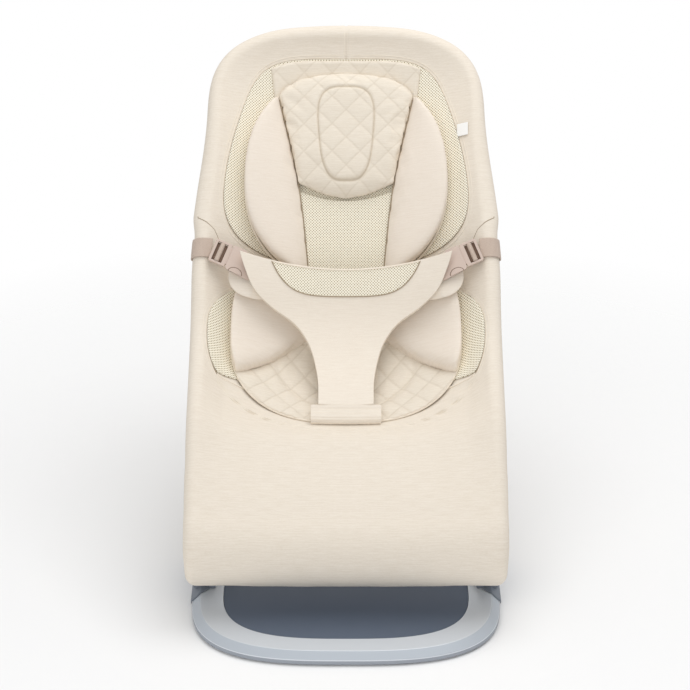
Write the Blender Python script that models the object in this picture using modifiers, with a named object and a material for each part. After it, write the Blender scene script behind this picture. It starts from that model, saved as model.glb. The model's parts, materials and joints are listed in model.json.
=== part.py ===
"""Baby bouncer: a fabric sling on a bent tube, hinged to a flat base ring.

The frame of the part is +Z up, +X to the right and the foot end towards -Y. The origin is in
the middle of the footprint. Places along the seat are given as (x, s, h): x across, s the length
along the seat rail from its lower end, and h the height over the rail's centre line, square to it.
"""

import math

import bmesh
import bpy
from mathutils import Matrix, Vector

# Driving dimensions, in metres and degrees
FRONT_Y = -0.30545
GAP = 0.0003
LAYER_GAP = 0.0012
WEBBING_WIDTH = 0.025
WEBBING_THICKNESS = 0.0016

# Base ring: a pressed band with a chamfered outer edge
RING_HALF_WIDTH = 0.192
RING_LENGTH = 0.592
RING_FRONT_DEPTH = 0.160
RING_REAR_DEPTH = 0.130
RING_POWER = 3.0
RING_BAND = 0.0385
RING_CHAMFER = (0.0100, 0.0075)
RING_EDGE = 0.0060
FOOT_HEIGHT = 0.0020
FOOT_RADIUS = 0.0120
FOOT_X = RING_HALF_WIDTH - 0.025
FOOT_FRONT_Y = 0.085
FOOT_REAR_Y = RING_LENGTH - 0.075
RING_BOTTOM = FOOT_HEIGHT + GAP
RING_TOP = RING_BOTTOM + RING_EDGE + RING_CHAMFER[1]
RING_LIP = 0.0020
PANEL_THICKNESS = 0.0050
PANEL_REAR_Y = 0.250
PANEL_REAR_BOW = 0.030
PANEL_SINK = 0.0020

# Recline hinge, seen along X
HINGE_Y = 0.212
HINGE_Z = 0.050
HINGE_X = 0.1800
HUB_RADIUS = 0.0232
HUB_THICKNESS = 0.0105
POD_INNER_X = 0.1640
POD_SPLIT_X = 0.1745
POD_POCKET_X = 0.1859
POD_OUTER_X = 0.1920
POD_FRONT = 0.051
POD_REAR = 0.046
POD_LIP = 0.006
POD_DECK_RUN = 0.016
POD_INNER_ROUNDING = 0.0010
POD_OUTER_ROUNDING = 0.0020
POCKET_RADIUS = 0.0238
CUP_FLOOR_X = 0.1675
SPLINE_COUNT = 18
SPLINE_ROOT_RADIUS = 0.0165
SPLINE_TIP_RADIUS = 0.0143
SPLINE_PLAY = 0.0003
LOCK_GEAR_LENGTH = 0.0035
BUTTON_RADIUS = 0.0085
BUTTON_OUT = 0.0030
PIN_RADIUS = 0.0025
PIN_HEAD_RADIUS = 0.0045
PIN_HEAD_HEIGHT = 0.0019
PIN_SHORT = 0.0070
PIN_CLEARANCE = 0.0001
BORE_CLEARANCE = 0.0003
BUTTON_CLEARANCE = 0.0002
BUTTON_CAP = 0.0030
BUTTON_ROOT = 0.0010
GEAR_STANDOFF = 0.0004
HUB_STANDOFF = 0.0004
HUB_RELIEF = 0.0005
HUB_RELIEF_STEP = 0.0002
SOCKET_RADIUS = 0.0115
SOCKET_REACH = 0.0440
SOCKET_ROOT = 0.0020
SOCKET_CLEARANCE = 0.0002
CUT_PAST = 0.0100

# Seat rail, seen along X: (length, turn) runs from the hinge, round the nose and up the back
TUBE_RADIUS = 0.0090
RAIL_START = (HINGE_Y - 0.0268, HINGE_Z)
NOSE_RADIUS = 0.050
NOSE_TURN = 136
RAIL_RUNS = (
    (0.0407, 0),
    (NOSE_RADIUS * math.radians(NOSE_TURN), -NOSE_TURN),
    (0.112, 0),
    (0.0377, -18),
    (0.085, 0),
    (0.0838, 24),
    (0.400, 0),
)
RAIL_STEPS = (2, 6, 3, 2, 4, 4, 6)
LOOP_STEPS = 8
RAIL_JOINT_S = 0.345
SPIGOT_LENGTH = 0.028
SPIGOT_RADIUS = 0.0070
SPIGOT_ROOT = 0.0040
STATION_GAP = 0.0020

# Seat rail, seen square to the seat
RAIL_HALF_FOOT = HINGE_X
RAIL_HALF_MIDDLE = 0.1865
RAIL_HALF_HEAD = 0.1690
RAIL_FLARE = (0.021, 0.085)
RAIL_TAPER = (0.500, 0.730)
LOOP_START = 0.730
LOOP_DEPTH = 0.115
LOOP_POWER = 3.0
LOOP_TOP = LOOP_START + LOOP_DEPTH

# Fabric sling
COVER_RADIUS = 0.0111
COVER_THICKNESS = 0.0016
COVER_HEM_S = RAIL_RUNS[0][0]
COVER_WRAP_START = -95
COVER_ROWS = (5, 6)
COVER_FAN = (0.560, LOOP_TOP - 0.085)
SLING_POWER = 2.6
SLING_DROPS = (
    (0.000, 0.004),
    (0.100, 0.007),
    (0.200, 0.018),
    (0.290, 0.046),
    (0.370, 0.082),
    (0.430, 0.086),
    (0.520, 0.066),
    (0.640, 0.050),
    (0.740, 0.040),
    (0.800, 0.024),
    (0.845, 0.000),
)

# Mesh rings and padded insert, as egg outlines: (middle s, reach above, reach below, half width, power)
MESH_THICKNESS = 0.0014
UPPER_MESH = (0.630, 0.178, 0.102, 0.158, 2.5)
LOWER_MESH = (0.436, 0.086, 0.100, 0.176, 2.6)
UPPER_INSERT = (0.640, 0.155, 0.126, 0.132, 2.3)
LOWER_INSERT = (0.435, 0.160, 0.134, 0.148, 2.2)
WING_INNER = ((0.500, 0.049), (0.538, 0.050), (0.647, 0.063), (0.760, 0.088))
INSERT_SPLIT_S = 0.512
PILLOW_ENDS = (0.627, 0.793)
SEAT_SEAM = ((0.137, 0.395), (0.052, 0.449))
SEAM_GAP = 0.0012
SEAT_SEAM_GAP = 0.0030
SEAT_SEAM_LEAD = 0.010
SEAT_ROUND_END = 0.020
SEAT_TUCK = 0.012
PANEL_TUCK = 0.010
WING_END_GAP = 0.004
UPPER_WING_TOP_S = 0.758
THIN_EDGE = 0.0005
PAD_END_POWER = 6
PAD_RIM_POWER = 0.6
UPPER_WING_CROWN = (0.012, 0.022)
LOWER_WING_CROWN = (0.014, 0.016)
PILLOW_CROWN = (0.017, 0.006)
BACK_PANEL_THICKNESS = 0.0040
SEAT_PAD_CROWN = 0.0095
QUILT_ANGLE = 45
QUILT_DEPTH = 0.0015
QUILT_SNAP = 0.0008
PILLOW_QUILT = (6, 0.032)
SEAT_QUILT = (6, 0.046)
CHANNEL_RADIUS = 0.0014
CHANNEL_SINK = 0.0004
CHANNEL_HALF = (0.030, 0.037)
CHANNEL_ENDS = (0.647, 0.777)
CHANNEL_POWER = 3.2
CHANNEL_POINTS = 28
MESH_BASE = LAYER_GAP
PAD_BASE = MESH_BASE + MESH_THICKNESS + 0.0022
UPPER_WING_BASE = PAD_BASE - 0.0007
UPPER_MIDDLE_BASE = PAD_BASE - 0.0012

# Harness: a padded front piece on a crotch band, buckled to straps round the rails
HARNESS_THICKNESS = 0.0075
HARNESS_FOOT_S = 0.346
HARNESS_TOP_S = 0.523
HARNESS_EAR_RISE = 0.013
HARNESS_REACH = RAIL_HALF_MIDDLE - 0.0505
HARNESS_EDGE = (
    (0.346, 0.035),
    (0.389, 0.036),
    (0.420, 0.042),
    (0.441, 0.051),
    (0.460, 0.068),
    (0.475, HARNESS_REACH - 0.040),
    (0.492, HARNESS_REACH - 0.019),
    (0.518, HARNESS_REACH - 0.006),
    (0.536, HARNESS_REACH),
)
HARNESS_HEIGHTS = ((0.346, -0.039), (0.400, -0.035), (0.450, -0.027), (0.500, -0.014), (0.540, -0.006))
HARNESS_EAR_HEIGHT = 0.034
CROTCH_BAND_S = (0.300, HARNESS_FOOT_S - 0.0004)
CROTCH_BAND_HALF = 0.035
CROTCH_BAND_THICKNESS = 0.004

# Buckles: ladder-lock tongues in sockets under the harness ears
STRAP_S = 0.545
STRAP_WRAP = (-100, 102.5)
STRAP_CLEARANCE = 0.0009
STRAP_ARC_SHARE = 0.72
STRAP_RUN = 0.0100
BUCKLE_INSET = 0.0348
BUCKLE_MOUTH = (0.5330, 0.0120)
BUCKLE_TURN = 22
BUCKLE_PITCH = 9
BUCKLE_HALF = 0.0155
TONGUE_THICKNESS = 0.0044
TONGUE_LENGTH = 0.0235
TONGUE_SHOULDER = 0.0010
LADDER_BAR = 0.0034
LADDER_SLOT = 0.0052
LADDER_RIM = 0.0028
LADDER_CORNER = 0.0020
PRONG_LENGTH = 0.0190
PRONG_EDGES = (0.0115, 0.0080)
PRONG_ROOT = 0.0030
PRONG_HOOK = 0.0040
PRONG_BARB = 0.0007
PRONG_CLEARANCE = 0.0005
GUIDE_HALF = 0.0022
GUIDE_SHORT = 0.0030
BUCKLE_ROUNDING = 0.0004
SOCKET_LENGTH = 0.0250
SOCKET_WALL = 0.0016
SOCKET_CORNER = (0.0080, 0.0060)
SOCKET_END_WALL = 0.0050
SOCKET_OVERLAP = 0.0004
TAB_PLACE = (0.1545, 0.7220)
TAB_SIZE = (0.014, 0.017, 0.0010)
TAB_BASE = 0.0007

# Lock springs
SPRING_RADIUS = 0.0062
SPRING_WIRE = 0.0004
SPRING_TURNS = 2.5
SPRING_STEPS = 12

COLOURS = {
    "base_ring": ((0.60, 0.64, 0.67), 0.45, 0.0),
    "base_panel": ((0.110, 0.130, 0.160), 0.70, 0.0),
    "rubber": ((0.030, 0.030, 0.032), 0.85, 0.0),
    "hinge": ((0.250, 0.270, 0.300), 0.50, 0.0),
    "button": ((0.180, 0.195, 0.215), 0.45, 0.0),
    "steel": ((0.50, 0.51, 0.53), 0.30, 1.0),
    "tube": ((0.58, 0.61, 0.64), 0.40, 0.0),
    "cover_fabric": ((0.80, 0.73, 0.63), 0.95, 0.0),
    "mesh_fabric": ((0.74, 0.67, 0.52), 0.95, 0.0),
    "insert_fabric": ((0.82, 0.74, 0.65), 0.95, 0.0),
    "harness_fabric": ((0.85, 0.78, 0.69), 0.95, 0.0),
    "webbing": ((0.65, 0.53, 0.45), 0.85, 0.0),
    "buckle": ((0.62, 0.50, 0.43), 0.55, 0.0),
    "label": ((0.90, 0.89, 0.86), 0.90, 0.0),
}


def smoothstep(t):
    """Ease from 0 to 1."""
    t = min(max(t, 0.0), 1.0)
    return t * t * (3.0 - 2.0 * t)


def eased_value(stations, place):
    """Value at a place among (place, value) stations, on a smooth cubic through them."""
    last = len(stations) - 1
    if place <= stations[0][0]:
        return stations[0][1]
    if place >= stations[last][0]:
        return stations[last][1]
    index = max(i for i in range(last) if stations[i][0] <= place)
    start, end = stations[index], stations[index + 1]
    before = stations[max(index - 1, 0)]
    after = stations[min(index + 2, last)]
    span = end[0] - start[0]
    slope_start = (end[1] - before[1]) / (end[0] - before[0]) * span
    slope_end = (after[1] - start[1]) / (after[0] - start[0]) * span
    t = (place - start[0]) / span
    return (
        start[1] * (2 * t**3 - 3 * t**2 + 1)
        + slope_start * (t**3 - 2 * t**2 + t)
        + end[1] * (3 * t**2 - 2 * t**3)
        + slope_end * (t**3 - t**2)
    )


def rail(s):
    """Point (y, z) of the seat rail at length s, from the base's front edge, and its heading."""
    y, z = RAIL_START
    heading = math.pi
    left = s
    for length, turn in RAIL_RUNS:
        run = min(left, length)
        if turn == 0:
            y += run * math.cos(heading)
            z += run * math.sin(heading)
        else:
            radius = length / math.radians(turn)
            turned = run / radius
            y += radius * (math.sin(heading + turned) - math.sin(heading))
            z -= radius * (math.cos(heading + turned) - math.cos(heading))
            heading += turned
        left -= run
        if left <= 0:
            break
    return y, z, heading


def seat_point(x, s, h):
    """Place of a point of the seat in the part's frame."""
    y, z, heading = rail(s)
    return Vector((x, FRONT_Y + y - h * math.sin(heading), z + h * math.cos(heading)))


def rail_half_width(s):
    """Distance of the rail's centre line from the middle of the seat."""
    flare = smoothstep((s - RAIL_FLARE[0]) / (RAIL_FLARE[1] - RAIL_FLARE[0]))
    taper = smoothstep((s - RAIL_TAPER[0]) / (RAIL_TAPER[1] - RAIL_TAPER[0]))
    half = RAIL_HALF_FOOT + (RAIL_HALF_MIDDLE - RAIL_HALF_FOOT) * flare
    half -= (RAIL_HALF_MIDDLE - RAIL_HALF_HEAD) * taper
    if s > LOOP_START:
        rise = min((s - LOOP_START) / LOOP_DEPTH, 1.0)
        half *= (1.0 - rise**LOOP_POWER) ** (1.0 / LOOP_POWER)
    return half


def superellipse(half, depth, power, steps):
    """Points (across, along) of a quarter outline, from its side to its end."""
    points = []
    for step in range(steps + 1):
        angle = 0.5 * math.pi * step / steps
        reach = (math.cos(angle) / half) ** power + (math.sin(angle) / depth) ** power
        reach = reach ** (-1.0 / power)
        points.append((reach * math.cos(angle), reach * math.sin(angle)))
    points[-1] = (0.0, depth)
    return points


def rail_stations():
    """Lengths along the rail, up to the loop, at which all that follows the rail has a section."""
    stations = [0.0]
    start = 0.0
    for (length, _), steps in zip(RAIL_RUNS, RAIL_STEPS):
        length = min(length, LOOP_START - start)
        stations += [start + length * (step + 1) / steps for step in range(steps)]
        start += length
    return stations


def rail_outline(start):
    """Points (x, s) along the right rail from a start length to the top of the loop."""
    lengths = [start] + [s for s in rail_stations() if start + STATION_GAP < s < LOOP_START - STATION_GAP]
    points = [(rail_half_width(s), s) for s in lengths]
    for across, along in superellipse(RAIL_HALF_HEAD, LOOP_DEPTH, LOOP_POWER, LOOP_STEPS):
        points.append((across, LOOP_START + along))
    return points


def wrap_end(inward, height):
    """Angle on the rail at which a straight sheet leaves it, towards a point inward of its centre."""
    towards = math.atan2(height, -inward) % (2.0 * math.pi)
    return towards - math.acos(COVER_RADIUS / math.hypot(inward, height))


def sling_drop(s):
    """Depth of the sling's middle under its edges, straight between the rail's sections."""
    stations = rail_stations()
    if not stations[0] < s < stations[-1]:
        return eased_value(SLING_DROPS, s)
    after = next(i for i, station in enumerate(stations) if station >= s)
    low, high = stations[after - 1], stations[after]
    t = (s - low) / (high - low)
    return eased_value(SLING_DROPS, low) * (1.0 - t) + eased_value(SLING_DROPS, high) * t


def sling_height(x, s):
    """Height of the sling's upper side over the rail's centre line, a bowl of flat facets."""
    half = max(rail_half_width(s), 0.001)
    half_sheet = 0.5 * COVER_THICKNESS
    top = COVER_RADIUS + half_sheet
    drop = sling_drop(s)
    spokes = COVER_ROWS[1]
    share = min(abs(x) / half, 1.0)
    facet = min(int(share * spokes), spokes - 1)
    inner = top - drop * (1.0 - (facet / spokes) ** SLING_POWER)
    outer = top - drop * (1.0 - ((facet + 1) / spokes) ** SLING_POWER)
    inward = half / spokes
    if facet < spokes - 1 or inward < 0.6 * COVER_RADIUS:
        return inner + (outer - inner) * (share * spokes - facet)
    angle = wrap_end(inward, inner - half_sheet)
    rail_x = half + COVER_RADIUS * math.cos(angle)
    rail_h = COVER_RADIUS * math.sin(angle) + half_sheet
    t = min((abs(x) - half + inward) / (rail_x - half + inward), 1.0)
    return inner + (rail_h - inner) * t


def make_materials():
    """One plain material for each kind of piece."""
    for name, (colour, roughness, metallic) in COLOURS.items():
        material = bpy.data.materials.new(name)
        material.use_nodes = True
        shader = material.node_tree.nodes["Principled BSDF"]
        shader.inputs["Base Color"].default_value = (*colour, 1.0)
        shader.inputs["Roughness"].default_value = roughness
        shader.inputs["Metallic"].default_value = metallic
        material.diffuse_color = (*colour, 1.0)


def collection(name):
    """The scene's collection of that name, made when it is first asked for."""
    if name not in bpy.data.collections:
        bpy.context.scene.collection.children.link(bpy.data.collections.new(name))
    return bpy.data.collections[name]


def place(obj, material, group="baby_bouncer"):
    """Put an object in a collection and give it its material."""
    collection(group).objects.link(obj)
    if material:
        obj.data.materials.clear()
        obj.data.materials.append(bpy.data.materials[material])
    return obj


def mesh_object(name, bm, material, smooth_angle=40):
    """An object from a bmesh, with its faces turned outwards."""
    bm.normal_update()
    bmesh.ops.recalc_face_normals(bm, faces=bm.faces)
    mesh = bpy.data.meshes.new(name)
    bm.to_mesh(mesh)
    bm.free()
    mesh.shade_smooth()
    mesh.set_sharp_from_angle(angle=math.radians(smooth_angle))
    return place(bpy.data.objects.new(name, mesh), material)


def as_mesh(obj):
    """Swap a curve object, or one with modifiers, for a welded mesh of the same shape."""
    bpy.context.view_layer.update()
    graph = bpy.context.evaluated_depsgraph_get()
    mesh = bpy.data.meshes.new_from_object(obj.evaluated_get(graph))
    bm = bmesh.new()
    bm.from_mesh(mesh)
    bm.transform(obj.matrix_world)
    bmesh.ops.remove_doubles(bm, verts=bm.verts, dist=0.00001)
    material = obj.data.materials[0].name if obj.data.materials else None
    name = obj.name
    bpy.data.objects.remove(obj)
    return mesh_object(name, bm, material)


def cut(obj, cutter, operation="DIFFERENCE"):
    """Cut a mesh object with another, or join the other to it, and keep the result."""
    modifier = obj.modifiers.new("cut", "BOOLEAN")
    modifier.object = cutter
    modifier.operation = operation
    result = as_mesh(obj)
    bpy.data.objects.remove(cutter)
    return result


def curve_object(name, loops, material, cyclic=True, flat=True):
    """A curve of POLY splines through loops of points."""
    curve = bpy.data.curves.new(name, "CURVE")
    curve.dimensions = "2D" if flat else "3D"
    for loop in loops:
        spline = curve.splines.new("POLY")
        spline.points.add(len(loop) - 1)
        for point, place_of_point in zip(spline.points, loop):
            coordinates = tuple(place_of_point) + (0.0,) * (3 - len(place_of_point))
            point.co = (*coordinates, 1.0)
        spline.use_cyclic_u = cyclic
    return place(bpy.data.objects.new(name, curve), material)


def plate(name, loops, thickness, frame, material, rounding=0.0):
    """A flat outline, with holes as further loops, given a thickness and put at a frame."""
    obj = curve_object(name, loops, material)
    obj.data.fill_mode = "BOTH"
    obj.data.extrude = 0.5 * thickness - rounding
    obj.data.bevel_depth = rounding
    obj.data.bevel_resolution = 1 if rounding else 0
    obj.data.offset = -rounding
    obj.matrix_world = frame
    return as_mesh(obj)


def slab(name, loops, low, high, material, rounding=0.0):
    """A side view, as (y, z) loops, given its thickness along X from low to high."""
    turn = Matrix(((0, 0, 1, 0), (1, 0, 0, 0), (0, 1, 0, 0), (0, 0, 0, 1)))
    frame = Matrix.Translation((0.5 * (low + high), 0.0, 0.0)) @ turn
    return plate(name, loops, high - low, frame, material, rounding)


def tube(name, points, radius, material, sides_level=3):
    """A round rod along a list of points."""
    obj = curve_object(name, [points], material, cyclic=False, flat=False)
    obj.data.bevel_depth = radius
    obj.data.bevel_resolution = sides_level
    obj.data.use_fill_caps = True
    return as_mesh(obj)


def cylinder(name, start, end, radius, material, segments=32):
    """A round bar between two points."""
    start, end = Vector(start), Vector(end)
    bm = bmesh.new()
    bmesh.ops.create_cone(
        bm,
        cap_ends=True,
        segments=segments,
        radius1=radius,
        radius2=radius,
        depth=(end - start).length,
    )
    turn = (end - start).to_track_quat("Z", "Y").to_matrix().to_4x4()
    bm.transform(Matrix.Translation(0.5 * (start + end)) @ turn)
    return mesh_object(name, bm, material)


def circle(centre, radius, segments, start=0.0, end=360.0):
    """Points of a circle, or of an arc with both its ends."""
    whole = abs(end - start) >= 360.0
    count = segments if whole else segments + 1
    points = []
    for step in range(count):
        angle = math.radians(start + (end - start) * step / segments)
        points.append((centre[0] + radius * math.cos(angle), centre[1] + radius * math.sin(angle)))
    return points


def splines(radius_root, radius_tip, play=0.0):
    """A toothed outline round the hinge axis: play widens the notches between the gear's teeth."""
    points = []
    pitch = 360.0 / SPLINE_COUNT
    slack = math.degrees(play / radius_tip)
    for tooth in range(SPLINE_COUNT):
        middle = tooth * pitch
        corners = (
            (radius_root, -0.30 * pitch - slack),
            (radius_tip, -0.18 * pitch - slack),
            (radius_tip, 0.18 * pitch + slack),
            (radius_root, 0.30 * pitch + slack),
        )
        for radius, angle in corners:
            turned = math.radians(middle + angle)
            y = FRONT_Y + HINGE_Y + radius * math.cos(turned)
            points.append((y, HINGE_Z + radius * math.sin(turned)))
    return points


def side_name(stem, side):
    """Node name with its side: right is +X, the right in a view of the seat from its foot end."""
    return f"{stem}_{'right' if side > 0 else 'left'}"


def ring_outline(inset, steps):
    """Outline of the base ring, as (x, y) points, moved inwards by an inset."""
    half = RING_HALF_WIDTH - inset
    front = superellipse(half, RING_FRONT_DEPTH - inset, RING_POWER, steps)
    rear = superellipse(half, RING_REAR_DEPTH - inset, RING_POWER, steps)
    front_y = FRONT_Y + RING_FRONT_DEPTH
    rear_y = FRONT_Y + RING_LENGTH - RING_REAR_DEPTH
    right = [(x, front_y - y) for x, y in reversed(front)]
    right += [(x, rear_y + y) for x, y in rear]
    left = [(-x, y) for x, y in reversed(right[1:-1])]
    return right + left


def make_base_ring():
    """The ring is one profile, with its outer chamfer, swept round the outline."""
    chamfer_x, chamfer_z = RING_CHAMFER
    lip = RING_LIP
    profile = curve_object(
        "ring_profile",
        [[
            (0.0, lip),
            (0.0, RING_EDGE),
            (chamfer_x, RING_EDGE + chamfer_z),
            (RING_BAND, RING_EDGE + chamfer_z),
            (RING_BAND, RING_EDGE - lip),
            (RING_BAND - lip, 0.0),
            (lip, 0.0),
        ]],
        None,
    )
    profile.hide_render = True
    profile.display_type = "WIRE"
    path = curve_object("base_ring", [ring_outline(0.0, 14)], "base_ring")
    path.data.bevel_mode = "OBJECT"
    path.data.bevel_object = profile
    path.location = (0.0, 0.0, RING_BOTTOM)
    ring = as_mesh(path)
    bpy.data.objects.remove(profile)
    return ring


def make_base_panel():
    """The panel closes the front of the ring, and its rear edge curves between the hinges."""
    outline = [p for p in ring_outline(RING_BAND + GAP, 14) if p[1] < FRONT_Y + PANEL_REAR_Y - PANEL_REAR_BOW]
    right = sorted((p for p in outline if p[0] > 0.0), key=lambda p: p[1])
    half = right[-1][0]
    rear = []
    for step in range(13):
        across = half * (1.0 - step / 6.0)
        bow = PANEL_REAR_BOW * (1.0 - (across / half) ** 2)
        rear.append((across, FRONT_Y + PANEL_REAR_Y - bow))
    front = [p for p in outline if p[0] == 0.0]
    left = [(-x, y) for x, y in reversed(right)]
    top = RING_TOP - PANEL_SINK
    frame = Matrix.Translation((0.0, 0.0, top - 0.5 * PANEL_THICKNESS))
    plate("base_panel", [front + right + rear + left], PANEL_THICKNESS, frame, "base_panel")


def make_feet():
    """Four rubber pads under the corners of the ring."""
    for end, y in (("front", FOOT_FRONT_Y), ("rear", FOOT_REAR_Y)):
        for side in (-1, 1):
            base = Vector((side * FOOT_X, FRONT_Y + y, 0.0))
            top = base + Vector((0.0, 0.0, FOOT_HEIGHT))
            cylinder(side_name(f"foot_{end}", side), base, top, FOOT_RADIUS, "rubber", 24)


def pod_outline():
    """Side view of a hinge pod: a round head with a low nose in front and a foot behind."""
    centre_y = FRONT_Y + HINGE_Y
    bottom = RING_TOP + GAP
    deck = HINGE_Z - SOCKET_RADIUS - LAYER_GAP
    deck_angle = math.degrees(math.asin((deck - HINGE_Z) / HUB_RADIUS))
    nose = [
        (centre_y - POD_FRONT, bottom),
        (centre_y - POD_FRONT, bottom + POD_LIP),
        (centre_y - POD_FRONT + POD_LIP, deck - 0.5 * POD_LIP),
        (centre_y - POD_FRONT + POD_DECK_RUN, deck),
    ]
    head = circle((centre_y, HINGE_Z), HUB_RADIUS, 20, 180 - deck_angle, -20)
    foot = [(centre_y + POD_REAR, bottom + POD_LIP), (centre_y + POD_REAR, bottom)]
    return nose + head + foot


def across_bar(name, side, low, high, radius, material=None, segments=32):
    """A round bar on one side's hinge axis, between two distances from the middle."""
    ends = [Vector((side * x, FRONT_Y + HINGE_Y, HINGE_Z)) for x in (low, high)]
    return cylinder(name, ends[0], ends[1], radius, material, segments)


def side_slab(name, side, loops, low, high, material, rounding=0.0):
    """A side view given its thickness between two distances from the middle, on one side."""
    low, high = sorted((side * low, side * high))
    return slab(name, loops, low, high, material, rounding)


def make_shells(side):
    """The pod's inner shell, with the fixed half of the lock's splines, and its outer shell."""
    outline = [pod_outline()]
    name = side_name("hinge_inner_shell", side)
    inner = side_slab(name, side, outline, POD_INNER_X, POD_SPLIT_X, "hinge", POD_INNER_ROUNDING)
    teeth = [splines(SPLINE_ROOT_RADIUS, SPLINE_TIP_RADIUS)]
    inner = cut(inner, side_slab("cup", side, teeth, CUP_FLOOR_X, POD_SPLIT_X + CUT_PAST, None))
    pin_radius = PIN_RADIUS + PIN_CLEARANCE
    cut(inner, across_bar("pin_hole", side, POD_INNER_X - CUT_PAST, POD_SPLIT_X, pin_radius, None, 20))

    name = side_name("hinge_outer_shell", side)
    outer = side_slab(name, side, outline, POD_SPLIT_X + GAP, POD_OUTER_X, "hinge", POD_OUTER_ROUNDING)
    pocket = across_bar("pocket", side, POD_SPLIT_X - CUT_PAST, POD_POCKET_X, POCKET_RADIUS, None, 40)
    outer = cut(outer, pocket)
    hole_radius = BUTTON_RADIUS + BUTTON_CLEARANCE
    cut(outer, across_bar("hole", side, POD_POCKET_X - CUT_PAST, POD_OUTER_X + CUT_PAST, hole_radius))


def make_hub(side):
    """The seat's half of the hinge: a splined disc with a socket for the rail's lower end."""
    low = POD_SPLIT_X + HUB_STANDOFF
    high = low + HUB_THICKNESS
    centre = (FRONT_Y + HINGE_Y, HINGE_Z)
    loops = [circle(centre, HUB_RADIUS, 40), splines(SPLINE_ROOT_RADIUS, SPLINE_TIP_RADIUS)]
    hub = side_slab(side_name("seat_hub", side), side, loops, low, high, "tube")

    def along(name, start, end, radius):
        ends = [Vector((side * HINGE_X, y, HINGE_Z)) for y in (start, end)]
        return cylinder(name, ends[0], ends[1], radius, None, 24)

    mouth_y = centre[0] - SOCKET_REACH
    boss = along("boss", mouth_y, centre[0] - HUB_RADIUS + SOCKET_ROOT, SOCKET_RADIUS)
    relief = POCKET_RADIUS + HUB_RELIEF
    inner_relief = (POD_INNER_X - CUT_PAST, low - HUB_RELIEF_STEP)
    outer_relief = (high + HUB_RELIEF_STEP, POD_OUTER_X + CUT_PAST)
    for relief_low, relief_high in (inner_relief, outer_relief):
        boss = cut(boss, across_bar("relief", side, relief_low, relief_high, relief, None, 40))
    hub = cut(hub, boss, "UNION")
    start_y = FRONT_Y + RAIL_START[0]
    cut(hub, along("tube_seat", start_y + GAP, mouth_y - CUT_PAST, TUBE_RADIUS + SOCKET_CLEARANCE))


def make_lock(side):
    """The lock's gear slides on the inner shell's splines, with its button out through the hub.

    A spring round the pin pushes the gear out, towards the splines of the hub.
    """
    high = POD_SPLIT_X + HUB_STANDOFF - GEAR_STANDOFF
    low = high - LOCK_GEAR_LENGTH
    teeth = [splines(SPLINE_ROOT_RADIUS - SPLINE_PLAY, SPLINE_TIP_RADIUS - SPLINE_PLAY, SPLINE_PLAY)]
    button = side_slab(side_name("recline_button", side), side, teeth, low, high, "button")
    stem = across_bar("stem", side, high - BUTTON_ROOT, POD_OUTER_X + BUTTON_OUT, BUTTON_RADIUS)
    button = cut(button, stem, "UNION")
    bore_radius = PIN_RADIUS + BORE_CLEARANCE
    cut(button, across_bar("bore", side, low - CUT_PAST, POD_OUTER_X - BUTTON_CAP, bore_radius, None, 20))

    pin = across_bar(side_name("hinge_pin", side), side, POD_INNER_X - PIN_HEAD_HEIGHT * 0.5,
                     POD_OUTER_X - PIN_SHORT, PIN_RADIUS, "steel", 20)
    head_low = POD_INNER_X - GAP - PIN_HEAD_HEIGHT
    cut(pin, across_bar("head", side, head_low, POD_INNER_X - GAP, PIN_HEAD_RADIUS, None, 20), "UNION")


def make_rails():
    """Two lower rails, and the head tube whose ends plug into them."""
    for side in (-1, 1):
        lengths = [s for s in rail_stations() if s < RAIL_JOINT_S - STATION_GAP] + [RAIL_JOINT_S]
        points = [seat_point(side * rail_half_width(s), s, 0.0) for s in lengths]
        rail_rod = tube(side_name("lower_rail", side), points, TUBE_RADIUS, "tube")
        end, inward = points[-1], (points[-2] - points[-1]).normalized()
        bore = cylinder("bore", end - CUT_PAST * inward, end + (SPIGOT_LENGTH + 2 * GAP) * inward,
                        SPIGOT_RADIUS + GAP, None, 16)
        cut(rail_rod, bore)
    start = RAIL_JOINT_S + GAP
    right = [seat_point(x, s, 0.0) for x, s in rail_outline(start)]
    left = [Vector((-p.x, p.y, p.z)) for p in reversed(right[:-1])]
    head = tube("head_tube", right + left, TUBE_RADIUS, "tube")
    for side in (-1, 1):
        end = seat_point(side * rail_half_width(start), start, 0.0)
        before = seat_point(side * rail_half_width(start + 0.01), start + 0.01, 0.0)
        inward = (before - end).normalized()
        spigot = cylinder("spigot", end - SPIGOT_LENGTH * inward, end + SPIGOT_ROOT * inward, SPIGOT_RADIUS,
                          None, 16)
        head = cut(head, spigot, "UNION")


def sling_spoke(x, s, share):
    """Place (x, s) on the sling, at a share of the way from the rail to the middle of the seat."""
    fan_start, spine_top = COVER_FAN
    spine = s
    if s > fan_start:
        spine = fan_start + (spine_top - fan_start) * (s - fan_start) / (LOOP_TOP - fan_start)
    return x * (1.0 - share), s + (spine - s) * share


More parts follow.
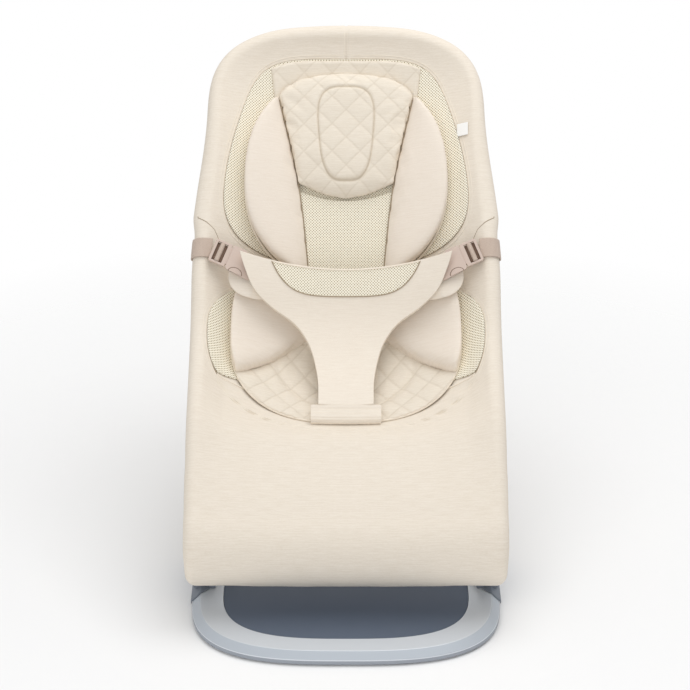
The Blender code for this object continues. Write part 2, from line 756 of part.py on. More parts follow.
def make_cover():
    """The sling wraps round the rails and sags between them, as one sheet."""
    outline = rail_outline(COVER_HEM_S)
    columns = len(outline)
    wraps, spokes = COVER_ROWS
    bm = bmesh.new()
    bmesh.ops.create_grid(bm, x_segments=columns - 1, y_segments=wraps + spokes, size=1.0)
    for vert in bm.verts:
        column = round((vert.co.x + 1.0) * 0.5 * (columns - 1))
        row = round((vert.co.y + 1.0) * 0.5 * (wraps + spokes))
        x, s = outline[column]
        if row > wraps:
            inner_x, inner_s = sling_spoke(x, s, (row - wraps) / spokes)
            height = sling_height(inner_x, inner_s) - 0.5 * COVER_THICKNESS
            vert.co = seat_point(inner_x, inner_s, height)
            continue
        ahead = seat_point(*outline[min(column + 1, columns - 1)], 0.0)
        behind = seat_point(*outline[max(column - 1, 0)], 0.0)
        along = (ahead - behind).normalized()
        if column == columns - 1:
            along = Vector((-1.0, 0.0, 0.0))
        heading = rail(s)[2]
        up = Vector((0.0, -math.sin(heading), math.cos(heading)))
        outward = along.cross(up).normalized()
        first_x, first_s = sling_spoke(x, s, 1.0 / spokes)
        inward = math.hypot(x - first_x, s - first_s)
        height = sling_height(first_x, first_s) - 0.5 * COVER_THICKNESS
        leaving = wrap_end(inward, height)
        start = math.radians(COVER_WRAP_START)
        angle = start + (leaving - start) * row / wraps
        offset = math.cos(angle) * outward + math.sin(angle) * up
        vert.co = seat_point(x, s, 0.0) + COVER_RADIUS * offset
    cover = mesh_object("seat_cover", bm, "cover_fabric", 60)
    middle = cover.modifiers.new("mirror", "MIRROR")
    middle.merge_threshold = 0.0001
    thickness = cover.modifiers.new("thickness", "SOLIDIFY")
    thickness.thickness = COVER_THICKNESS
    thickness.offset = 0.0


def egg(s, middle, above, below, half, power):
    """Half width of an egg outline at a length along the seat."""
    reach = above if s > middle else below
    t = min(abs(s - middle) / reach, 1.0)
    return half * (1.0 - t**power) ** (1.0 / power)


def sew_quilt(bm, middle_s, rows, pitch):
    """Sew two crossing sets of channels into the top of a pad that still lies flat."""
    for turn in (-1, 1):
        angle = math.radians(turn * QUILT_ANGLE)
        normal = Vector((math.cos(angle), math.sin(angle), 0.0))
        for row in range(rows):
            place = Vector((0.0, middle_s, 0.0)) + pitch * (row - 0.5 * (rows - 1)) * normal
            bm.normal_update()
            top = [face for face in bm.faces if face.normal.z > 0.0]
            edges = {edge for face in top for edge in face.edges}
            bmesh.ops.bisect_plane(bm, geom=top + list(edges), plane_co=place, plane_no=normal,
                                   dist=QUILT_SNAP)
            bm.normal_update()
            rim = {vert for face in bm.faces if face.normal.z <= 0.0 for vert in face.verts}
            for vert in set(bm.verts) - rim:
                if abs((vert.co - place).dot(normal)) <= QUILT_SNAP:
                    vert.tag = True
    for vert in bm.verts:
        if vert.tag:
            vert.co.z -= QUILT_DEPTH


def pad(name, material, ends, edges, base, crown, rings=12, sides=16, quilt=None):
    """A closed soft form lofted along the seat between two ends.

    edges(s) gives its left and right x, base is the height of its underside over the sling, and
    crown(x, s) is its thickness, which comes to a rounded rim at its edges. quilt holds the number
    of channels each way and their pitch.
    Its top and its underside are split along the same diagonals, so a thin one can't cross itself.
    """
    low, high = ends
    bm = bmesh.new()
    bmesh.ops.create_uvsphere(bm, u_segments=sides, v_segments=rings, radius=1.0)
    top = [face for face in bm.faces if face.calc_center_median().y > 0.0]
    under = [face for face in bm.faces if face.calc_center_median().y <= 0.0]
    bmesh.ops.triangulate(bm, faces=top, quad_method="FIXED")
    bmesh.ops.triangulate(bm, faces=under, quad_method="ALTERNATE")
    for vert in bm.verts:
        share_along = vert.co.z
        s = 0.5 * (low + high) + 0.5 * (high - low) * share_along
        turn = 0.0 if abs(share_along) > 0.999 else math.atan2(vert.co.y, vert.co.x)
        left, right = edges(s)
        x = 0.5 * (left + right) + 0.5 * (right - left) * math.cos(turn)
        rise = math.sin(turn)
        thickness = crown(x, s) * (1.0 - share_along**PAD_END_POWER) ** 0.5
        share = 0.5 + 0.5 * math.copysign(abs(rise) ** PAD_RIM_POWER, rise)
        vert.co = (x, s, base + thickness * share)
    if quilt:
        sew_quilt(bm, 0.5 * (low + high), *quilt)
    for vert in bm.verts:
        x, s, height = vert.co
        vert.co = seat_point(x, s, sling_height(x, s) + height)
    return mesh_object(name, bm, material, 60)


def make_mesh_rings():
    """Two knitted panels on the sling, under the padded insert."""
    for name, outline, rings in (("upper_mesh", UPPER_MESH, 14), ("lower_mesh", LOWER_MESH, 12)):
        middle, above, below = outline[:3]
        pad(name, "mesh_fabric", (middle - below, middle + above),
            lambda s, outline=outline: (-egg(s, *outline), egg(s, *outline)),
            MESH_BASE, lambda x, s: MESH_THICKNESS, rings, 24)


def wing_inner(s):
    """Inner edge of the wings, which is the outer edge of what lies between them."""
    return eased_value(WING_INNER, s)


def make_upper_insert():
    """A head pillow and a mesh panel between two side wings."""
    def wing_crown(x, s):
        inner = wing_inner(s)
        outer = max(egg(s, *UPPER_INSERT), inner + THIN_EDGE)
        share = min(max((abs(x) - inner) / (outer - inner), 0.0), 1.0)
        return UPPER_WING_CROWN[0] + UPPER_WING_CROWN[1] * math.sin(0.5 * math.pi * share)

    wing_ends = (INSERT_SPLIT_S + WING_END_GAP, UPPER_WING_TOP_S)
    for side in (-1, 1):
        def wing_edges(s, side=side):
            inner = wing_inner(s) + SEAM_GAP
            outer = max(egg(s, *UPPER_INSERT), inner + THIN_EDGE)
            return side * inner, side * outer

        name = side_name("upper_wing", side)
        pad(name, "insert_fabric", wing_ends, wing_edges, UPPER_WING_BASE, wing_crown)

    def pillow_edges(s):
        half = wing_inner(s)
        middle = 0.5 * (PILLOW_ENDS[0] + PILLOW_ENDS[1])
        reach = abs(s - middle) / (PILLOW_ENDS[1] - middle)
        half *= max(1.0 - reach**6, 0.0) ** 0.25
        return -half, half

    def pillow_crown(x, s):
        edge, swell = PILLOW_CROWN
        return edge + swell * (1.0 - (x / WING_INNER[-1][1]) ** 2)

    pillow = pad("head_pillow", "insert_fabric", PILLOW_ENDS, pillow_edges, UPPER_MIDDLE_BASE, pillow_crown,
                 14, 20, PILLOW_QUILT)
    points = []
    for step in range(CHANNEL_POINTS):
        angle = 2.0 * math.pi * step / CHANNEL_POINTS
        along = math.copysign(abs(math.sin(angle)) ** (2.0 / CHANNEL_POWER), math.sin(angle))
        across = math.copysign(abs(math.cos(angle)) ** (2.0 / CHANNEL_POWER), math.cos(angle))
        s = CHANNEL_ENDS[0] + (CHANNEL_ENDS[1] - CHANNEL_ENDS[0]) * (0.5 + 0.5 * along)
        x = across * (CHANNEL_HALF[0] + (CHANNEL_HALF[1] - CHANNEL_HALF[0]) * (0.5 + 0.5 * along))
        rise = (1.0 - (x / pillow_edges(s)[1]) ** 2) ** 0.5
        place_in_pad = 2.0 * (s - PILLOW_ENDS[0]) / (PILLOW_ENDS[1] - PILLOW_ENDS[0]) - 1.0
        thickness = pillow_crown(x, s) * (1.0 - place_in_pad**PAD_END_POWER) ** 0.5
        height = UPPER_MIDDLE_BASE + thickness * (0.5 + 0.5 * rise**PAD_RIM_POWER) - CHANNEL_SINK
        points.append(seat_point(x, s, sling_height(x, s) + height))
    channel = curve_object("channel", [points], None, flat=False)
    channel.data.bevel_depth = CHANNEL_RADIUS
    cut(pillow, as_mesh(channel))

    panel_ends = (INSERT_SPLIT_S - PANEL_TUCK, PILLOW_ENDS[0] - SEAM_GAP)

    def panel_edges(s):
        middle = 0.5 * (panel_ends[0] + panel_ends[1])
        reach = abs(s - middle) / (panel_ends[1] - middle)
        half = wing_inner(s) * max(1.0 - reach**8, 0.0) ** 0.25
        return -half, half

    pad("back_panel", "mesh_fabric", panel_ends, panel_edges, UPPER_MIDDLE_BASE,
        lambda x, s: BACK_PANEL_THICKNESS, 10, 14)


def make_lower_insert():
    """Two hip wings over a quilted seat pad."""
    (seam_x, seam_s), (corner_x, corner_s) = SEAT_SEAM
    slope = (corner_s - seam_s) / (seam_x - corner_x)

    def wing_start(x):
        return corner_s - slope * (x - corner_x)

    def wing_crown(x, s):
        share = min(max((abs(x) - corner_x) / (LOWER_INSERT[3] - corner_x), 0.0), 1.0)
        return LOWER_WING_CROWN[0] + LOWER_WING_CROWN[1] * math.sin(0.5 * math.pi * share)

    wing_ends = (seam_s + WING_END_GAP, INSERT_SPLIT_S)
    for side in (-1, 1):
        def wing_edges(s, side=side):
            inner = corner_x
            if s < corner_s:
                inner = corner_x + (corner_s - s) / slope
            outer = max(egg(s, *LOWER_INSERT), inner + THIN_EDGE)
            return side * inner, side * outer

        pad(side_name("lower_wing", side), "insert_fabric", wing_ends, wing_edges, PAD_BASE, wing_crown)

    seat_ends = (LOWER_INSERT[0] - LOWER_INSERT[2], INSERT_SPLIT_S - SEAT_TUCK)

    def seat_edges(s):
        half = egg(s, *LOWER_INSERT)
        if s > seam_s - SEAT_SEAM_LEAD:
            half = min(half, corner_x + max(corner_s - s, 0.0) / slope)
        if s > seam_s - 3 * SEAT_SEAM_LEAD:
            half -= SEAT_SEAM_GAP
        end = min(max((seat_ends[1] - s) / SEAT_ROUND_END, 0.0), 1.0)
        half *= (1.0 - (1.0 - end) ** 4) ** 0.25
        return -half, half

    pad("seat_pad", "insert_fabric", seat_ends, seat_edges, PAD_BASE,
        lambda x, s: SEAT_PAD_CROWN, 18, 20, SEAT_QUILT)


def sheet(name, material, columns, rows, thickness, surface):
    """A cloth sheet: surface(u, v) gives its middle, with u and v from 0 to 1."""
    bm = bmesh.new()
    bmesh.ops.create_grid(bm, x_segments=columns, y_segments=rows, size=1.0)
    for vert in bm.verts:
        vert.co = surface(0.5 + 0.5 * vert.co.x, 0.5 + 0.5 * vert.co.y)
    obj = mesh_object(name, bm, material, 60)
    modifier = obj.modifiers.new("thickness", "SOLIDIFY")
    modifier.thickness = thickness
    modifier.offset = 0.0
    return obj


def harness_point(x, s, h=0.0):
    """Place on the middle of the harness, raised by h."""
    height = eased_value(HARNESS_HEIGHTS, s)
    height += HARNESS_EAR_HEIGHT * (abs(x) / HARNESS_REACH) ** 2
    return seat_point(x, s, height + h)


def make_harness():
    """The front piece, from a narrow foot to two ears, and the crotch band that carries it."""
    def harness_surface(u, v):
        across = 2.0 * u - 1.0
        top = HARNESS_TOP_S + HARNESS_EAR_RISE * across**2
        s = HARNESS_FOOT_S + (top - HARNESS_FOOT_S) * v
        edge_s = HARNESS_FOOT_S + (HARNESS_EDGE[-1][0] - HARNESS_FOOT_S) * v
        return harness_point(across * eased_value(HARNESS_EDGE, edge_s), s)

    sheet("harness", "harness_fabric", 10, 12, HARNESS_THICKNESS, harness_surface)

    low, high = CROTCH_BAND_S
    foot_height = eased_value(HARNESS_HEIGHTS, HARNESS_FOOT_S)
    foot_height += 0.5 * (HARNESS_THICKNESS - CROTCH_BAND_THICKNESS)

    def band_surface(u, v):
        x = (2.0 * u - 1.0) * CROTCH_BAND_HALF
        s = low + (high - low) * v
        clear = sling_height(x, s) + PAD_BASE + SEAT_PAD_CROWN + 2 * GAP + 0.5 * CROTCH_BAND_THICKNESS
        return seat_point(x, s, clear + (max(foot_height, clear) - clear) * v)

    sheet("crotch_band", "harness_fabric", 4, 4, CROTCH_BAND_THICKNESS, band_surface)


def make_strap(side):
    """Webbing round the rail, through the ladder lock and back under itself."""
    lead, end = STRAP_WRAP
    reach = COVER_RADIUS + 0.5 * COVER_THICKNESS + STRAP_CLEARANCE + 0.5 * WEBBING_THICKNESS

    def strap_surface(u, v):
        s = STRAP_S + (v - 0.5) * WEBBING_WIDTH
        if u <= STRAP_ARC_SHARE:
            angle = math.radians(lead + (end - lead) * u / STRAP_ARC_SHARE)
            out, height = reach * math.cos(angle), reach * math.sin(angle)
        else:
            run = (u - STRAP_ARC_SHARE) / (1.0 - STRAP_ARC_SHARE) * STRAP_RUN
            angle = math.radians(end)
            out = reach * math.cos(angle) - run * math.sin(angle)
            height = reach * math.sin(angle) + run * math.cos(angle)
        return seat_point(side * (rail_half_width(s) + out), s, height)

    sheet(side_name("strap", side), "webbing", 12, 2, WEBBING_THICKNESS, strap_surface)


def buckle_frame(side):
    """Frame at a buckle's mouth: X into the socket, Y across the webbing, Z out of the harness."""
    s, h = BUCKLE_MOUTH
    x = rail_half_width(STRAP_S) - BUCKLE_INSET
    heading = rail(s)[2]
    up = Vector((0.0, -math.sin(heading), math.cos(heading)))
    along = Vector((0.0, math.cos(heading), math.sin(heading)))
    turn = math.radians(BUCKLE_TURN)
    pitch = math.radians(BUCKLE_PITCH)
    flat = -side * math.cos(turn) * Vector((1.0, 0.0, 0.0)) - math.sin(turn) * along
    into = math.cos(pitch) * flat - math.sin(pitch) * up
    across = up.cross(into).normalized()
    out = into.cross(across)
    frame = Matrix((into, across, out)).transposed().to_4x4()
    frame.translation = seat_point(side * x, s, h)
    return frame


def make_tongue(side):
    """A tongue: a ladder lock for the webbing, two hooked prongs and a blunt guide between them."""
    half = BUCKLE_HALF
    back = -TONGUE_LENGTH
    tip = PRONG_LENGTH
    shoulder = -TONGUE_SHOULDER
    prong_outer, prong_inner = PRONG_EDGES
    prong_mouth = PRONG_ROOT
    guide_x = tip - GUIDE_SHORT
    corner = LADDER_CORNER
    edge = [
        (back, -half + corner),
        (back + corner, -half),
        (shoulder, -half),
        (shoulder, -prong_outer),
        (tip - PRONG_HOOK, -prong_outer - PRONG_BARB),
        (tip, -prong_outer + 2 * PRONG_BARB),
        (tip - 0.25 * PRONG_HOOK, -prong_inner + PRONG_BARB),
        (prong_mouth, -prong_inner),
        (prong_mouth, -GUIDE_HALF),
        (guide_x - corner * 0.5, -GUIDE_HALF + 0.2 * corner),
        (guide_x, 0.0),
    ]
    body = edge + [(x, -y) for x, y in reversed(edge[:-1])]
    slots = []
    for bar in range(2):
        start = back + LADDER_BAR + bar * (LADDER_BAR + LADDER_SLOT)
        slot_half = half - LADDER_RIM
        slots.append([
            (start, -slot_half),
            (start + LADDER_SLOT, -slot_half),
            (start + LADDER_SLOT, slot_half),
            (start, slot_half),
        ])
    name = side_name("buckle_tongue", side)
    plate(name, [body] + slots, TONGUE_THICKNESS, buckle_frame(side), "buckle", BUCKLE_ROUNDING)


def make_socket(side):
    """A socket: side walls with a channel for the prongs between them, under a lid."""
    frame = buckle_frame(side)
    half = BUCKLE_HALF
    deep = TONGUE_THICKNESS + 2 * (GAP + SOCKET_OVERLAP)
    channel_half = PRONG_EDGES[0] + PRONG_BARB + PRONG_CLEARANCE
    outer = [
        (GAP, -half),
        (SOCKET_LENGTH - SOCKET_CORNER[0], -half),
        (SOCKET_LENGTH, -half + SOCKET_CORNER[1]),
        (SOCKET_LENGTH, half - SOCKET_CORNER[1]),
        (SOCKET_LENGTH - SOCKET_CORNER[0], half),
        (GAP, half),
    ]
    channel_end = SOCKET_LENGTH - SOCKET_END_WALL
    channel = [
        (GAP, channel_half),
        (channel_end, channel_half),
        (channel_end, -channel_half),
        (GAP, -channel_half),
    ]
    walls = plate(side_name("buckle_socket", side), [outer + channel], deep, frame, "buckle")
    lid_height = 0.5 * (deep + SOCKET_WALL) - SOCKET_OVERLAP
    lid = plate("lid", [outer], SOCKET_WALL, frame @ Matrix.Translation((0.0, 0.0, lid_height)), None)
    cut(walls, lid, "UNION")


def make_tab():
    """A blank woven tab sewn into the seam of the upper mesh."""
    x, s = TAB_PLACE
    width, length, thickness = TAB_SIZE

    def tab_surface(u, v):
        place_x, place_s = x + width * (u - 0.5), s + length * (v - 0.5)
        base = sling_height(place_x, place_s) + TAB_BASE + 0.5 * thickness
        return seat_point(place_x, place_s, base)

    sheet("side_tab", "label", 4, 1, thickness, tab_surface)


def make_spring(side):
    """The coil that pushes the lock gear out, between the cup's floor and the gear."""
    low = CUP_FLOOR_X + SPRING_WIRE + GAP
    high = POD_SPLIT_X - LOCK_GEAR_LENGTH - SPRING_WIRE - GAP
    count = round(SPRING_TURNS * SPRING_STEPS)
    points = []
    for step in range(count + 1):
        angle = 2.0 * math.pi * step / SPRING_STEPS
        x = low + (high - low) * step / count
        points.append((side * x, FRONT_Y + HINGE_Y + SPRING_RADIUS * math.cos(angle),
                       HINGE_Z + SPRING_RADIUS * math.sin(angle)))
    tube(side_name("lock_spring", side), points, SPRING_WIRE, "steel", 1)


def main():
    """Build every piece of the bouncer."""
    for obj in list(bpy.data.objects):
        bpy.data.objects.remove(obj)
    make_materials()
    make_base_ring()
    make_base_panel()
    make_feet()
    make_rails()
    make_cover()
    make_mesh_rings()
    make_upper_insert()
    make_lower_insert()
    make_harness()
    make_tab()
    for side in (-1, 1):
        make_shells(side)
        make_hub(side)
        make_lock(side)
        make_spring(side)
        make_strap(side)
        make_tongue(side)
        make_socket(side)


main()
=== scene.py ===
# %% [markdown]
# # Dressing a baby bouncer
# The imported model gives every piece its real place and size: a tube frame, a flat base ring, two
# recline hinges, and a plain closed solid for each soft part. This script keeps the hard parts and
# sews the soft ones again: a fabric sling, a padded insert, a front harness and two buckled straps.
#
# The way to work is the one that a soft-goods maker uses. Each piece is cut flat, in a plane whose
# axes are x, across the seat, and s, the length along the seat. It is stuffed, quilted and stitched
# there, and one function then lays it on the curved seat. Its flat pattern stays in a UV map called
# cut, in metres, so weave and stitches keep their real size and follow the cloth.

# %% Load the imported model
import json
import math

import bmesh
import bpy
import numpy as np
from mathutils import Matrix, Vector, noise
from mathutils.bvhtree import BVHTree


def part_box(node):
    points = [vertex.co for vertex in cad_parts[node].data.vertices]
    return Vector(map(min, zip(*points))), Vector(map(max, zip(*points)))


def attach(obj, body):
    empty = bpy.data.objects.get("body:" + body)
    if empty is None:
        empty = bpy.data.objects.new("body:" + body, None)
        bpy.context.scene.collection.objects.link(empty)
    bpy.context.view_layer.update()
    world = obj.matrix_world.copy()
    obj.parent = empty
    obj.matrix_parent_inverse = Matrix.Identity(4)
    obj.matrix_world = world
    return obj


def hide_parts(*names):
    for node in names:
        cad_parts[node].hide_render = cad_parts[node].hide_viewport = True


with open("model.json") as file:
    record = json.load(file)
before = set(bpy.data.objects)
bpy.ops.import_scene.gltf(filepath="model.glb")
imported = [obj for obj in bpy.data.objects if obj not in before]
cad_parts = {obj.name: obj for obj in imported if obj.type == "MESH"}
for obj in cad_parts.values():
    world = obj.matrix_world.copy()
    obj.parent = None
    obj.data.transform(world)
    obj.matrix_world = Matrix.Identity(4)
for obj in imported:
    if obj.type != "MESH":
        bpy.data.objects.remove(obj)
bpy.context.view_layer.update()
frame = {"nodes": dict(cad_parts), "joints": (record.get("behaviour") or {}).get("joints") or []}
joints = {joint["name"]: joint for joint in frame["joints"]}
hinge = Vector(joints["seat_recline"]["pos_m"])

# %% [markdown]
# ## Camera
# The real object was seen from the foot end, from a little above, with a long lens. A long lens
# keeps the sides of the seat parallel. The distance and the height angle give the camera's place,
# and a small shift puts the object where it stands in the frame.

# %% Camera
FRAME_PIXELS = 690
FOCAL_PIXELS = 2461
CAMERA_DISTANCE = 3.2
CAMERA_ELEVATION = 24
AIM = Vector((0.0, 0.07455, 0.25))
AIM_OFFSET_PIXELS = (1.0, 2.5)

scene = bpy.context.scene
scene.view_settings.view_transform = "Standard"
camera_data = bpy.data.cameras.new("camera")
camera_data.lens = camera_data.sensor_width * FOCAL_PIXELS / FRAME_PIXELS
camera_data.shift_x = -AIM_OFFSET_PIXELS[0] / FRAME_PIXELS
camera_data.shift_y = AIM_OFFSET_PIXELS[1] / FRAME_PIXELS
camera = bpy.data.objects.new("camera", camera_data)
scene.collection.objects.link(camera)
elevation = math.radians(CAMERA_ELEVATION)
towards_camera = Vector((0.0, -math.cos(elevation), math.sin(elevation)))
camera.location = AIM + CAMERA_DISTANCE * towards_camera
camera.rotation_euler = (-towards_camera).to_track_quat("-Z", "Y").to_euler()
scene.camera = camera
print("the camera is", CAMERA_DISTANCE, "m away, with a lens of", round(camera_data.lens), "mm")

# %% [markdown]
# ## Seat coordinates
# The seat follows a bent rail. Its side view is a chain of straight runs and arcs: back from the
# hinge, round a nose at the foot end, under the legs, down into the seat and up the back. A length s
# along the rail, a distance x from the middle and a height h over the rail's centre line, square to
# it, name any place of the seat. These are the model's own driving sizes.

# %% Rail and sling sizes
RAIL_START_OFFSET = 0.0268
NOSE_RADIUS = 0.050
NOSE_TURN = 136
RAIL_RUNS = (
    (0.0407, 0),
    (NOSE_RADIUS * math.radians(NOSE_TURN), -NOSE_TURN),
    (0.112, 0),
    (0.0377, -18),
    (0.085, 0),
    (0.0838, 24),
    (0.400, 0),
)
hub_low, hub_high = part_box("seat_hub_right")
RAIL_HALF_FOOT = (hub_low.x + hub_high.x) / 2
RAIL_HALF_MIDDLE = 0.1865
RAIL_HALF_HEAD = 0.1690
RAIL_FLARE = (0.021, 0.085)
RAIL_TAPER = (0.500, 0.730)
LOOP_START = 0.730
LOOP_DEPTH = 0.115
LOOP_POWER = 3.0
LOOP_TOP = LOOP_START + LOOP_DEPTH
COVER_RADIUS = 0.0111
COVER_THICKNESS = 0.0016
COVER_HEM_S = RAIL_RUNS[0][0]
COVER_WRAP_START = -95
COVER_FAN = (0.560, LOOP_TOP - 0.085)
SLING_TOP = COVER_RADIUS + 0.5 * COVER_THICKNESS
SLING_POWER = 2.6
SLING_DROPS = (
    (0.000, 0.004),
    (0.100, 0.007),
    (0.200, 0.018),
    (0.290, 0.046),
    (0.370, 0.082),
    (0.430, 0.086),
    (0.520, 0.066),
    (0.640, 0.050),
    (0.740, 0.040),
    (0.800, 0.024),
    (0.845, 0.000),
)


# %% Places on the seat
def eased(stations, place):
    """Values at some places, on a smooth curve through (place, value) stations."""
    at, value = np.array(stations, float).T
    last = len(at) - 1
    index = np.arange(last + 1)
    before, after = np.maximum(index - 1, 0), np.minimum(index + 1, last)
    slope = (value[after] - value[before]) / (at[after] - at[before])
    place = np.clip(place, at[0], at[-1])
    start = np.clip(np.searchsorted(at, place, side="right") - 1, 0, last - 1)
    span = at[start + 1] - at[start]
    t = (place - at[start]) / span
    blend = value[start] * (2 * t**3 - 3 * t**2 + 1) + value[start + 1] * (3 * t**2 - 2 * t**3)
    return blend + span * (slope[start] * (t**3 - 2 * t**2 + t) + slope[start + 1] * (t**3 - t**2))


def smoothstep(t):
    """Ease from 0 to 1."""
    t = np.clip(t, 0.0, 1.0)
    return t * t * (3.0 - 2.0 * t)


def rail_at(s):
    """Places (y, z) of the rail at some lengths, and its headings."""
    s = np.asarray(s, float)
    y = np.full(s.shape, hinge.y - RAIL_START_OFFSET)
    z = np.full(s.shape, hinge.z)
    heading = np.full(s.shape, math.pi)
    start = 0.0
    for length, turn in RAIL_RUNS:
        run = np.clip(s - start, 0.0, length)
        if turn == 0:
            y = y + run * np.cos(heading)
            z = z + run * np.sin(heading)
        else:
            radius = length / math.radians(turn)
            turned = run / radius
            y = y + radius * (np.sin(heading + turned) - np.sin(heading))
            z = z - radius * (np.cos(heading + turned) - np.cos(heading))
            heading = heading + turned
        start += length
    return y, z, heading


def rail_half(s):
    """Distance of the rail's centre line from the middle of the seat."""
    s = np.asarray(s, float)
    half = RAIL_HALF_FOOT + (RAIL_HALF_MIDDLE - RAIL_HALF_FOOT) * smoothstep(
        (s - RAIL_FLARE[0]) / (RAIL_FLARE[1] - RAIL_FLARE[0])
    )
    taper = smoothstep((s - RAIL_TAPER[0]) / (RAIL_TAPER[1] - RAIL_TAPER[0]))
    half = half - (RAIL_HALF_MIDDLE - RAIL_HALF_HEAD) * taper
    rise = np.clip((s - LOOP_START) / LOOP_DEPTH, 0.0, 1.0)
    return half * (1.0 - rise**LOOP_POWER) ** (1.0 / LOOP_POWER)


def sling(x, s):
    """Height of the sling's upper side over the rail's centre line."""
    share = np.minimum(np.abs(x) / np.maximum(rail_half(s), 0.001), 1.0)
    return SLING_TOP - eased(SLING_DROPS, s) * (1.0 - share**SLING_POWER)


def seat_places(x, s, h):
    """Points in the model's frame for some seat coordinates."""
    y, z, heading = rail_at(s)
    return np.stack([x + 0.0 * y, y - h * np.sin(heading), z + h * np.cos(heading)], axis=-1)


print("the loop's top is at", np.round(seat_places(0.0, LOOP_TOP, 0.0), 3))


# %% [markdown]
# ## Small mesh tools
# Most pieces start as a bmesh grid or sphere whose points are moved by a function. NumPy moves them
# all at once, which is quick and reads like the formula. Cloth is laid on the seat last, by
# lay_on_seat. A piece for the left side is a mirrored copy of the right one, so both have the same cut.

# %% Mesh tools
def srgb(red, green, blue):
    """A colour given as it looks on a screen, from 0 to 255, as Blender's linear values."""
    shares = [v / 255.0 for v in (red, green, blue)]
    return [v / 12.92 if v <= 0.04045 else ((v + 0.055) / 1.055) ** 2.4 for v in shares]


def made(name, bm, smooth=True):
    """An object from a bmesh."""
    mesh = bpy.data.meshes.new(name)
    bm.to_mesh(mesh)
    bm.free()
    if smooth:
        mesh.shade_smooth()
    obj = bpy.data.objects.new(name, mesh)
    scene.collection.objects.link(obj)
    return obj


def points_of(obj):
    """The points of a mesh, one a row."""
    points = np.empty(len(obj.data.vertices) * 3)
    obj.data.vertices.foreach_get("co", points)
    return points.reshape(-1, 3)


def set_points(obj, points):
    """Move the points of a mesh."""
    obj.data.vertices.foreach_set("co", np.asarray(points, float).ravel())
    obj.data.update()


def apply_modifiers(obj):
    """Keep what the modifiers make, and drop them."""
    bpy.context.view_layer.update()
    graph = bpy.context.evaluated_depsgraph_get()
    mesh = bpy.data.meshes.new_from_object(obj.evaluated_get(graph))
    obj.modifiers.clear()
    obj.data = mesh
    return obj


def grid(name, columns, rows, place):
    """A flat sheet: place(u, v) gives x, s and lift for u and v from 0 to 1."""
    bm = bmesh.new()
    bmesh.ops.create_grid(bm, x_segments=columns, y_segments=rows, size=1.0)
    obj = made(name, bm)
    flat = points_of(obj)
    parts = place(0.5 + 0.5 * flat[:, 0], 0.5 + 0.5 * flat[:, 1])
    set_points(obj, np.stack([part + 0.0 * flat[:, 0] for part in parts], axis=-1))
    return obj


def with_mirror(obj):
    """Add a mirrored copy across the middle of the seat, and turn its faces the right way."""
    bm = bmesh.new()
    bm.from_mesh(obj.data)
    copied = bmesh.ops.duplicate(bm, geom=bm.verts[:] + bm.edges[:] + bm.faces[:])["geom"]
    verts = [item for item in copied if isinstance(item, bmesh.types.BMVert)]
    faces = [item for item in copied if isinstance(item, bmesh.types.BMFace)]
    bmesh.ops.scale(bm, vec=(-1.0, 1.0, 1.0), verts=verts)
    bmesh.ops.reverse_faces(bm, faces=faces)
    bmesh.ops.remove_doubles(bm, verts=bm.verts, dist=0.00005)
    bm.to_mesh(obj.data)
    bm.free()


def mirror(obj):
    """Turn a piece into its own mirror image across the middle of the seat."""
    bm = bmesh.new()
    bm.from_mesh(obj.data)
    bmesh.ops.scale(bm, vec=(-1.0, 1.0, 1.0), verts=bm.verts)
    bmesh.ops.reverse_faces(bm, faces=bm.faces)
    bm.to_mesh(obj.data)
    bm.free()


def mirrored(obj, name):
    """A copy of a piece for the other side of the seat, with its faces turned the right way."""
    bm = bmesh.new()
    bm.from_mesh(obj.data)
    bmesh.ops.scale(bm, vec=(-1.0, 1.0, 1.0), verts=bm.verts)
    bmesh.ops.reverse_faces(bm, faces=bm.faces)
    return made(name, bm)


def thicken(obj, thickness, offset=0.0):
    """Give a sheet its thickness."""
    solid = obj.modifiers.new("thickness", "SOLIDIFY")
    solid.thickness = thickness
    solid.offset = offset
    solid.use_even_offset = True
    return apply_modifiers(obj)


# %% Shading and flat patterns
def weigh_normals(obj):
    """Let the large faces decide the shading next to a small bevel."""
    modifier = obj.modifiers.new("even shading", "WEIGHTED_NORMAL")
    modifier.weight = 80
    modifier.keep_sharp = True


def cut_map(obj):
    """Keep the flat pattern, in metres, as the UV map called cut."""
    flat = points_of(obj)
    loops = np.empty(len(obj.data.loops), int)
    obj.data.loops.foreach_get("vertex_index", loops)
    layer = obj.data.uv_layers.get("cut") or obj.data.uv_layers.new(name="cut")
    layer.data.foreach_set("uv", flat[loops, :2].ravel())


def lay_on_seat(obj, base, ground):
    """Lay a flat piece on a ground, at a base height over it, and keep its flat pattern."""
    cut_map(obj)
    x, s, lift = points_of(obj).T
    set_points(obj, seat_places(x, s, ground(x, s) + base + lift))


def mark_seam_shade(obj, share):
    """Keep how much painted shade each point gets beside a sewn line, from 0 to 1, as the attribute called
    seam.
    """
    layer = obj.data.attributes.get("seam") or obj.data.attributes.new("seam", "FLOAT", "POINT")
    layer.data.foreach_set("value", np.asarray(share, float))


def noise_at(x, s, scale, seed=0.0):
    """Smooth noise from -1 to 1 over the flat pattern, with features of about one scale."""
    return np.array([noise.noise(Vector((a / scale, b / scale, seed))) for a, b in zip(x, s)])


# %% [markdown]
# ## Finishes
# Every cloth here is cream, and what tells one from another is its surface: a heathered weave with
# faint streaks across, a spacer knit full of small holes, smooth jersey and ribbed webbing. Each
# effect is a node group that reads the flat pattern and gives a mask and a height. The shader itself
# stays in each material.

